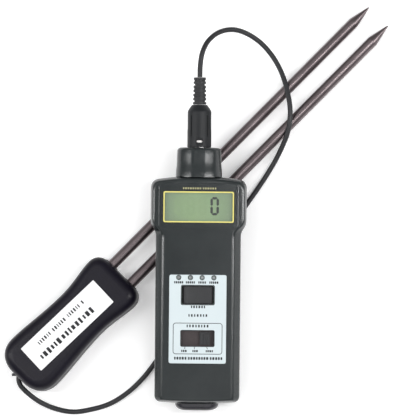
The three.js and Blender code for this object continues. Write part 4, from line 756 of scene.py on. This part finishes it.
head_marks = bars(0.5, 138.6, 1.2, pattern(8, 3) + [0.05] + pattern(6, 2), 0.62, HEAD_FACE, HEAD_FACE + 0.03)
settle(joined("head_print", head_marks), METER, "meter", "case_plastic", PALE_INK)

LAMP_DOME = [(1.2, 18.8), (1.2, 25.5), (1.12, 25.85), (0.9, 26.12), (0.55, 26.26), (0, 26.3)]
for number, x in enumerate(LAMPS, 1):
    lamp = turned(f"lamp_dome_{number}", LAMP_DOME, 28, "z", (x, LAMP_Y, 0))
    settle(lamp, METER, "meter", "lamp", replaces=[f"lamp_{number}"])

# ---- keys


def dish_tool(x, y, height, high, half, dish, columns=26, rows=14):
    """What a dished key's top is cut with: its underside sags in an arc across the key."""
    verts, faces = [], []
    for r in range(rows + 1):
        for c in range(columns + 1):
            u = -half + 2 * half * c / columns
            v = -height + 2 * height * r / rows
            verts.append((x + u, y + v, high - dish * math.sqrt(max(0, 1 - (u / half) ** 2)) + 0.001))
    top = len(verts)
    verts += [(vx, vy, high + 2) for vx, vy, _ in verts]
    span = columns + 1
    for r in range(rows):
        for c in range(columns):
            k, m = r * span + c, top + r * span + c
            faces += [(k + 1, k, k + span, k + span + 1), (m, m + 1, m + span + 1, m + span)]
    for c in range(columns):
        k, m = c, rows * span + c
        faces += [(k, k + 1, top + k + 1, top + k), (m + 1, m, top + m, top + m + 1)]
    for r in range(rows):
        k, m = r * span, r * span + columns
        faces += [(k + span, k, top + k, top + k + span), (m, m + span, top + m + span, top + m)]
    return raw("dish", verts, faces)


def cushion(name, width, height, low, high, corner, y, x=0.0, dish=0.0, lip=0.0, flange=0.0, edge=0.45):
    """A moulded key: walls, rounded edge, and a top that dips between raised lips at its two ends."""
    rings = [(low, -flange), (low + 1, -flange), (low + 1, 0)] if flange else [(low, 0)]
    rings += [(high - edge, 0), (high - 0.45 * edge, 0.12 * edge), (high - 0.12 * edge, 0.45 * edge), (high, edge)]
    body = loft(name, [[(u, v, z) for u, v in rounded(width - 2 * i, height - 2 * i, max(corner - i, 0.2), x, y)]
                       for z, i in rings])
    if dish:
        combine(body, [dish_tool(x, y, height, high, width / 2 - edge - lip, dish)])
    return body


button = cushion("select_key", 17.8, 10.5, 22.3, 27.5, 0.8, BUTTON_Y, dish=0.55, lip=1.1, flange=1.2)
settle(button, METER, "select_button", "button_plastic", replaces=["select_button"], smooth=25)

KNOB_X = 4.7
knob = cushion("slider_knob", 6.7, 8.4, 22.3, 26.0, 0.5, SLOT_Y, KNOB_X, edge=0.3)
ridges = [box("ridge", (KNOB_X + offset - 0.42, 38.5, 25.5), (KNOB_X + offset + 0.42, 45.7, 26.5))
          for offset in (-2.2, 0, 2.2)]
combine(knob, ridges, "UNION")
softened(knob, 0.12)
settle(knob, METER, "function_slider", "button_plastic", replaces=["function_knob"], smooth=30)

shutter = box("shutter_strip", (-11.3, 36.45, 22.4), (22.9, 47.75, 23.15), 0.4)
shutter_ribs = [prism("rib", [(x, 37.4), (x + 0.6, 37.4), (x + 0.6, 46.8), (x, 46.8)], 23.1, 23.42)
                for x in (-10.6 + 1.15 * k for k in range(29)) if not 0.9 < x < 7.9]
combine(shutter, shutter_ribs, "UNION")
settle(shutter, METER, "function_slider", "button_plastic", SHUTTER, replaces=["slider_shutter"], smooth=30)

# ---- plug and strain relief

SHELL = [(0, 165.1), (7.3, 165.1), (7.6, 165.25), (7.75, 165.6), (7.75, 176.0), (7.66, 177.0), (7.66, 188.0),
         (7.5, 188.7), (6.5, 190.4), (5.4, 191.9), (5.0, 192.4), (4.85, 192.55), (0, 192.55)]
plug = turned("plug_body", SHELL, 56, centre=(0, 0, SEAM))
combine(plug, [turned("bore", [(6.5, 164), (6.5, 169.5)], 40, centre=(0, 0, SEAM)),
               box("latch_window", (-2.15, 166.75, 19.5), (2.15, 170.95, 22), 0.35),
               *[box("grip_line", (x - 0.25, 172, 17.5), (x + 0.25, 186, 22)) for x in (-5.2, 5.2)]])
settle(plug, METER, "probe_set", "dark_plastic", replaces=["plug_shell"], smooth=35)

latch = turned("plug_latch", [(1.9, 19.7), (1.9, 20.0), (1.75, 20.15), (0, 20.2)], 32, "z", (0, 168.85, 0))
settle(latch, METER, "probe_set", "dark_plastic", replaces=["plug_screw"])
slot_bar = softened(box("plug_latch_bar", (-1.6, 168.15, 20.1), (1.6, 169.55, 20.6), 0.3), 0.12)
settle(slot_bar, METER, "probe_set", "small_steel")

RIBS, RIB_PITCH, RELIEF_Y = 7, 18.5 / 7, 192.85
profile = [(1.95, RELIEF_Y)]
for rib in range(RIBS):
    start = RELIEF_Y + rib * RIB_PITCH
    wide = 4.35 - 0.35 * rib / (RIBS - 1)
    width = RIB_PITCH * 0.6
    if rib:
        profile.append((wide - 0.85, start - 0.05))
    profile += [(wide - 0.2, start), (wide, start + 0.3), (wide, start + width - 0.3), (wide - 0.2, start + width)]
    if rib < RIBS - 1:
        profile.append((wide - 0.9, start + width + 0.08))
profile.append((1.95, RELIEF_Y + 17.44))
relief = turned("ribbed_relief", profile + [profile[0]], 36, centre=(0, 0, SEAM))
bridges = []
for rib in range(RIBS - 1):
    low = RELIEF_Y + rib * RIB_PITCH + RIB_PITCH * 0.45
    reach = 2.9 - 0.35 * rib / (RIBS - 1)
    for x, z in ([(-reach, 0), (reach, 0)] if rib % 2 else [(0, -reach), (0, reach)]):
        bridges.append(box("bridge", (x - 0.9, low, SEAM + z - 0.9),
                           (x + 0.9, low + RIB_PITCH * 0.7, SEAM + z + 0.9)))
relief = joined("ribbed_relief", [relief, *bridges])
settle(relief, METER, "probe_set", "black_rubber", replaces=["strain_relief"], smooth=30)

# ---- probe: handle, sticker, rods

HANDLE, WAIST, LOBE = 94.8, 17.6, 20.4  # length, and half widths at the waist and lobes
HANDLE_SEAM, ROD_SIDE = 11, 8.7
STICKER_SEAT = Matrix.Translation((46.8, 0, 0)) @ Matrix.Rotation(math.radians(-1.6), 4, "Z")


def handle_outline(inset):
    """The dog-bone outline, pulled in along its own normals."""
    rear_y, front_y = 5 + 0.6 * (LOBE - 5), 11 + 0.6 * (LOBE - 11)
    waist_x, rear_x, front_x = 59.0, 14.5, 86.0
    upper = curve_points([(0, 5), (0, rear_y), (rear_x * 0.4, LOBE), (rear_x, LOBE)], 14)
    rear, front, end = waist_x - rear_x, front_x - waist_x, HANDLE - front_x
    upper += curve_points([(rear_x, LOBE), (rear_x + 0.3 * rear, LOBE), (waist_x - 0.4 * rear, WAIST),
                           (waist_x, WAIST)], 16)
    upper += curve_points([(waist_x, WAIST), (waist_x + 0.4 * front, WAIST), (front_x - 0.3 * front, LOBE),
                           (front_x, LOBE)], 12)
    upper += curve_points([(front_x, LOBE), (front_x + 0.6 * end, LOBE), (HANDLE, front_y), (HANDLE, 11)], 12,
                          last=True)
    upper = [(0, 2.5)] + upper + [(HANDLE, 5.5)]
    ring = [(x, -y) for x, y in upper] + [(HANDLE, 0)] + list(reversed(upper)) + [(0, 0)]
    moved = []
    for k, (x, y) in enumerate(ring):
        (ax, ay), (bx, by) = ring[k - 1], ring[(k + 1) % len(ring)]
        dx, dy = bx - ax, by - ay
        size = math.hypot(dx, dy)
        moved.append((x - inset * dy / size, y + inset * dx / size))
    return moved


def handle_ring(z, inset):
    return [(x, y, z) for x, y in handle_outline(inset)]


def arc_rings(low, high, radius, steps, rise):
    """Rings over a rounded edge: rise 1 climbs to the face, rise -1 starts at the back."""
    rings = []
    for step in range(steps + 1):
        angle = math.pi / 2 * step / steps
        if rise > 0:
            rings.append(handle_ring(high - radius + radius * math.sin(angle), radius * (1 - math.cos(angle))))
        else:
            rings.append(handle_ring(low + radius - radius * math.cos(angle), radius * (1 - math.sin(angle))))
    return rings


def lead_tool(name, radius, start, end):
    """A cylinder along the lead's exit, which leaves the rear end at 45 degrees."""
    tool = turned(name, [(radius, start), (radius, end)], 32, "x")
    tool.data.transform(Matrix.Translation((0, 0, HANDLE_SEAM)) @ Matrix.Rotation(math.radians(45), 4, "Z"))
    return tool


def handle_half(name, rings, cavity_rings):
    half = loft(name, rings)
    combine(half, [loft("cavity", cavity_rings)])
    tools = [turned("bush_hole", [(5.25, 84), (5.25, 100)], 36, "x", (0, side * ROD_SIDE, HANDLE_SEAM))
             for side in (-1, 1)]
    tools += [lead_tool("notch", 5.4, -8, 3), lead_tool("grommet_hole", 3.9, 0, 9)]
    return combine(half, tools)


EDGE = 6.4
face = handle_half("grip_face", [handle_ring(11.15, 0.35), handle_ring(11.5, 0), handle_ring(13.5, 0)]
                   + arc_rings(0, 22, EDGE, 9, 1), [handle_ring(10, 2.2), handle_ring(16, 2.4), handle_ring(19.8, 6)])
seat = prism("seat", rounded(65.4, 20.2, 0.6), 21.72, 23)
seat.data.transform(STICKER_SEAT)
combine(face, [seat])
softened(face, 0.15, angle=40)
settle(face, PROBE, "probe_set", "handle_plastic", replaces=["handle_front"], smooth=32)

HANDLE_SCREWS = [(79, 0), (17, 13), (17, -13)]
back_rings = arc_rings(0, 22, 6, 8, -1) + [handle_ring(8.5, 0), handle_ring(10.5, 0), handle_ring(10.85, 0.35)]
back_half = handle_half("grip_back", back_rings, [handle_ring(2.2, 6), handle_ring(6, 2.4), handle_ring(12, 2.2)])
combine(back_half, pegs(HANDLE_SCREWS, 4, 1.2, 10.8, 24), "UNION")
combine(back_half, pegs(HANDLE_SCREWS, 2.7, -1, 2.6))
softened(back_half, 0.15, angle=40)
settle(back_half, PROBE, "probe_set", "handle_plastic", replaces=["handle_back"], smooth=32)

sticker = loft("grip_sticker", [[(x, y, z) for x, y in rounded(64.8 - 2 * i, 19.6 - 2 * i, 0.6)]
                                for z, i in ((21.8, 0), (22.1, 0), (STICKER_FACE, 0.12))])
settle(sticker, PROBE @ STICKER_SEAT, "probe_set", "label_sheet", STICKER, replaces=["handle_label"])


def block_row(y, height, count, seed, width, gap, start, extra):
    """A row of plain upright blocks in groups, in place of a line of print."""
    made, x = [], start
    for k in range(count):
        w = width * (0.55 + 0.45 * ((k * seed) % 4) / 3)
        h = height * (0.72 + 0.28 * ((k * (seed + 1)) % 3) / 2)
        made.append(prism("block", rounded(w, h, 0.18, x + w / 2, y, 1), STICKER_FACE,
                          STICKER_FACE + 0.03))
        x += w + gap + (extra if k % 6 == 5 else 0)
    return made


rows = block_row(-3.6, 4.2, 15, 3, 2.3, 1.25, -26.4, 0.6)
rows += block_row(4.2, 3.6, 19, 5, 1.15, 1.0, -21.5, 1.6)
settle(joined("sticker_print", rows), PROBE @ STICKER_SEAT, "probe_set", "label_sheet", BLACK_INK)

ROD = [(0, 49.0), (1.75, 49.0), (2.0, 49.25), (2.0, 58.0), (3.2, 58.0), (3.5, 58.3), (3.5, 150), (3.5, 240),
       (3.5, 317.0), (3.46, 317.6), (2.6, 321.6), (1.55, 326.2), (0.5, 330.9), (0.25, 331.6), (0, 331.8)]
SLEEVE = [(3.8, 85.8), (5.2, 85.8), (5.2, 94.6), (5.0, 94.95), (4.6, 95.1), (4.1, 95.1), (3.8, 94.8), (3.8, 85.8)]
for number, side in ((1, 1), (2, -1)):
    axis = (0, side * ROD_SIDE, HANDLE_SEAM)
    rod = turned(f"probe_rod_{number}", ROD, 56, "x", axis)
    settle(rod, PROBE, "probe_set", "rod_steel", replaces=[f"electrode_rod_{number}"], smooth=40)
    sleeve = turned(f"rod_sleeve_{number}", SLEEVE, 40, "x", axis)
    settle(sleeve, PROBE, "probe_set", "black_rubber", replaces=[f"rod_bush_{number}"], smooth=35)

# ---- screws


def screw(name, x, y, length):
    """A domed screw head with a cross recess, seen from the back."""
    profile = [(0, 1.0), (1.4, 1.02), (2.1, 1.22), (2.4, 1.6), (2.4, 2.3), (1.2, 2.3), (1.2, length), (0, length)]
    made = turned(name, profile, 32, "z", (x, y, 0))
    recess = [box("recess", (x - a, y - b, 0), (x + a, y + b, 1.75)) for a, b in ((1.35, 0.3), (0.3, 1.35))]
    combine(made, recess)
    return made


for number, (x, y) in enumerate(CASE_SCREWS, 1):
    settle(screw(f"case_screw_head_{number}", x, y, 18), METER, "meter", "small_steel",
           replaces=[f"case_screw_{number}"])
for number, (x, y) in enumerate(HANDLE_SCREWS, 1):
    settle(screw(f"grip_screw_head_{number}", x, y, 15), PROBE, "probe_set", "small_steel",
           replaces=[f"handle_screw_{number}"])

# ---- lights and floor

FLOOR_REACH = 4.0  # metres each way
floor_mesh = bpy.data.meshes.new("floor")
corners = [(x * FLOOR_REACH, y * FLOOR_REACH, 0) for x, y in ((-1, -1), (1, -1), (1, 1), (-1, 1))]
floor_mesh.from_pydata(corners, [], [(0, 1, 2, 3)])
floor = bpy.data.objects.new("floor", floor_mesh)
scene.collection.objects.link(floor)
floor_shade = Shade("floor_paint", 0.75, Emission_Color=(1, 1, 1, 1), Emission_Strength=0.22)
floor_shade.colour(floor_shade.blend(floor_shade.noise(3.0), (0.96, 0.96, 0.96), (0.94, 0.94, 0.94)))
floor_mesh.materials.append(floor_shade.material)


def softbox(name, place, aim, size, power):
    lamp = bpy.data.lights.new(name, "AREA")
    lamp.shape, lamp.size, lamp.size_y, lamp.energy = "RECTANGLE", *size, power
    made = bpy.data.objects.new(name, lamp)
    scene.collection.objects.link(made)
    made.location = place
    made.rotation_euler = (Vector(aim) - Vector(place)).to_track_quat("-Z", "Y").to_euler()


softbox("key", (-0.55, 0.60, 1.30), (0, 0, 0), (1.4, 1.4), 3.7)
softbox("side", (0.80, 0.15, 1.20), (0, 0, 0), (1.1, 1.1), 2.2)
softbox("low", (0.05, -0.70, 1.00), (0, -0.1, 0), (1.2, 1.0), 3.0)
softbox("strip_left", (-0.80, -0.05, 0.92), (0, 0, 0), (0.07, 1.3), 6.5)
softbox("strip_right", (0.80, -0.05, 0.92), (0, 0, 0), (0.07, 1.3), 8.5)

world = bpy.data.worlds.new("studio")
scene.world = world
world.use_nodes = True
sky = world.node_tree
ramp = sky.nodes.new("ShaderNodeValToRGB")
place = sky.nodes.new("ShaderNodeTexCoord")
split = sky.nodes.new("ShaderNodeSeparateXYZ")
sky.links.new(place.outputs["Generated"], split.inputs[0])
sky.links.new(split.outputs["Z"], ramp.inputs[0])
sky.links.new(ramp.outputs[0], sky.nodes["Background"].inputs[0])
stops = ramp.color_ramp.elements
stops[0].position, stops[0].color = 0.0, (0.6, 0.6, 0.6, 1)
stops[1].position, stops[1].color = 1.0, (0.34, 0.34, 0.35, 1)
for position, level in ((0.25, 0.42), (0.55, 0.28), (0.8, 0.3)):
    stops.new(position).color = (level, level, level, 1)
scene.view_settings.view_transform = "Standard"

# ---- cord

CORD_RADIUS = 1.65 * MM
CORD_POINTS = [
    (5.34, 83.63, 32.58), (5.6, 90.7, 32.9), (6.9, 99.2, 32.6), (9.9, 106.5, 30.2), (14.6, 111.9, 26.4),
    (20.5, 115.1, 22), (27.1, 115.8, 17.6), (34.4, 113.4, 13.8), (41.9, 108.4, 10.8), (48.2, 101.6, 9.2),
    (53.4, 93.5, 9), (57.4, 84.3, 10.2), (60.3, 73.7, 12), (61.7, 64.6, 12.9), (61.3, 55.5, 12.6),
    (59.5, 47.9, 10.9), (55.8, 39.8, 7.8), (50.8, 31, 4.4), (44.7, 21.5, 2.5), (38.1, 11.9, 1.9),
    (30.3, 1, 1.9), (20.5, -14.5, 1.9), (10.1, -31.2, 1.9), (-0.3, -48.6, 1.9), (-10.1, -67.3, 1.9),
    (-20.2, -86, 1.9), (-29.6, -100.8, 1.9), (-38.1, -111.1, 1.9), (-47.5, -119.4, 1.9), (-58.6, -126, 1.9),
    (-70.7, -129.5, 1.9), (-82.7, -131, 2), (-94.6, -128.7, 3.1), (-104.2, -124.3, 5.9), (-110.1, -119.8, 9.5),
    (-113.4, -116.5, 12.1), (-115.6, -113.5, 13.6), (-116.45, -110.3, 13.94), (-116.44, -108.1, 13.89),
]


def centripetal(points, steps):
    """Points along a centripetal Catmull-Rom curve."""
    points = [Vector(p) for p in points]
    padded = [2 * points[0] - points[1], *points, 2 * points[-1] - points[-2]]
    line = []
    for p0, p1, p2, p3 in zip(padded, padded[1:], padded[2:], padded[3:]):
        knots = [0.0]
        for a, b in ((p0, p1), (p1, p2), (p2, p3)):
            knots.append(knots[-1] + math.sqrt((b - a).length))
        for step in range(steps):
            t = knots[1] + (knots[2] - knots[1]) * step / steps
            a1 = p0.lerp(p1, (t - knots[0]) / (knots[1] - knots[0]))
            a2 = p1.lerp(p2, (t - knots[1]) / (knots[2] - knots[1]))
            a3 = p2.lerp(p3, (t - knots[2]) / (knots[3] - knots[2]))
            b1 = a1.lerp(a2, (t - knots[0]) / (knots[2] - knots[0]))
            b2 = a2.lerp(a3, (t - knots[1]) / (knots[3] - knots[1]))
            line.append(b1.lerp(b2, (t - knots[1]) / (knots[2] - knots[1])))
    return line + [points[-1]]


cord_line = [p * MM for p in centripetal(reversed(CORD_POINTS), 5)]
cord_data = bpy.data.curves.new("lead", "CURVE")
cord_data.dimensions = "3D"
cord_data.bevel_depth = CORD_RADIUS
cord_data.bevel_resolution = 5
cord_data.use_fill_caps = True
strand = cord_data.splines.new("POLY")
strand.points.add(len(cord_line) - 1)
for node, point in zip(strand.points, cord_line):
    node.co = (*point, 1)
strand.use_smooth = True
cord_data.materials.append(MATERIALS["black_rubber"])
lead = bpy.data.objects.new("lead", cord_data)
scene.collection.objects.link(lead)
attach(lead, "probe_set")
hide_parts("cord")

# ---- a last update, and the end

bpy.context.view_layer.update()
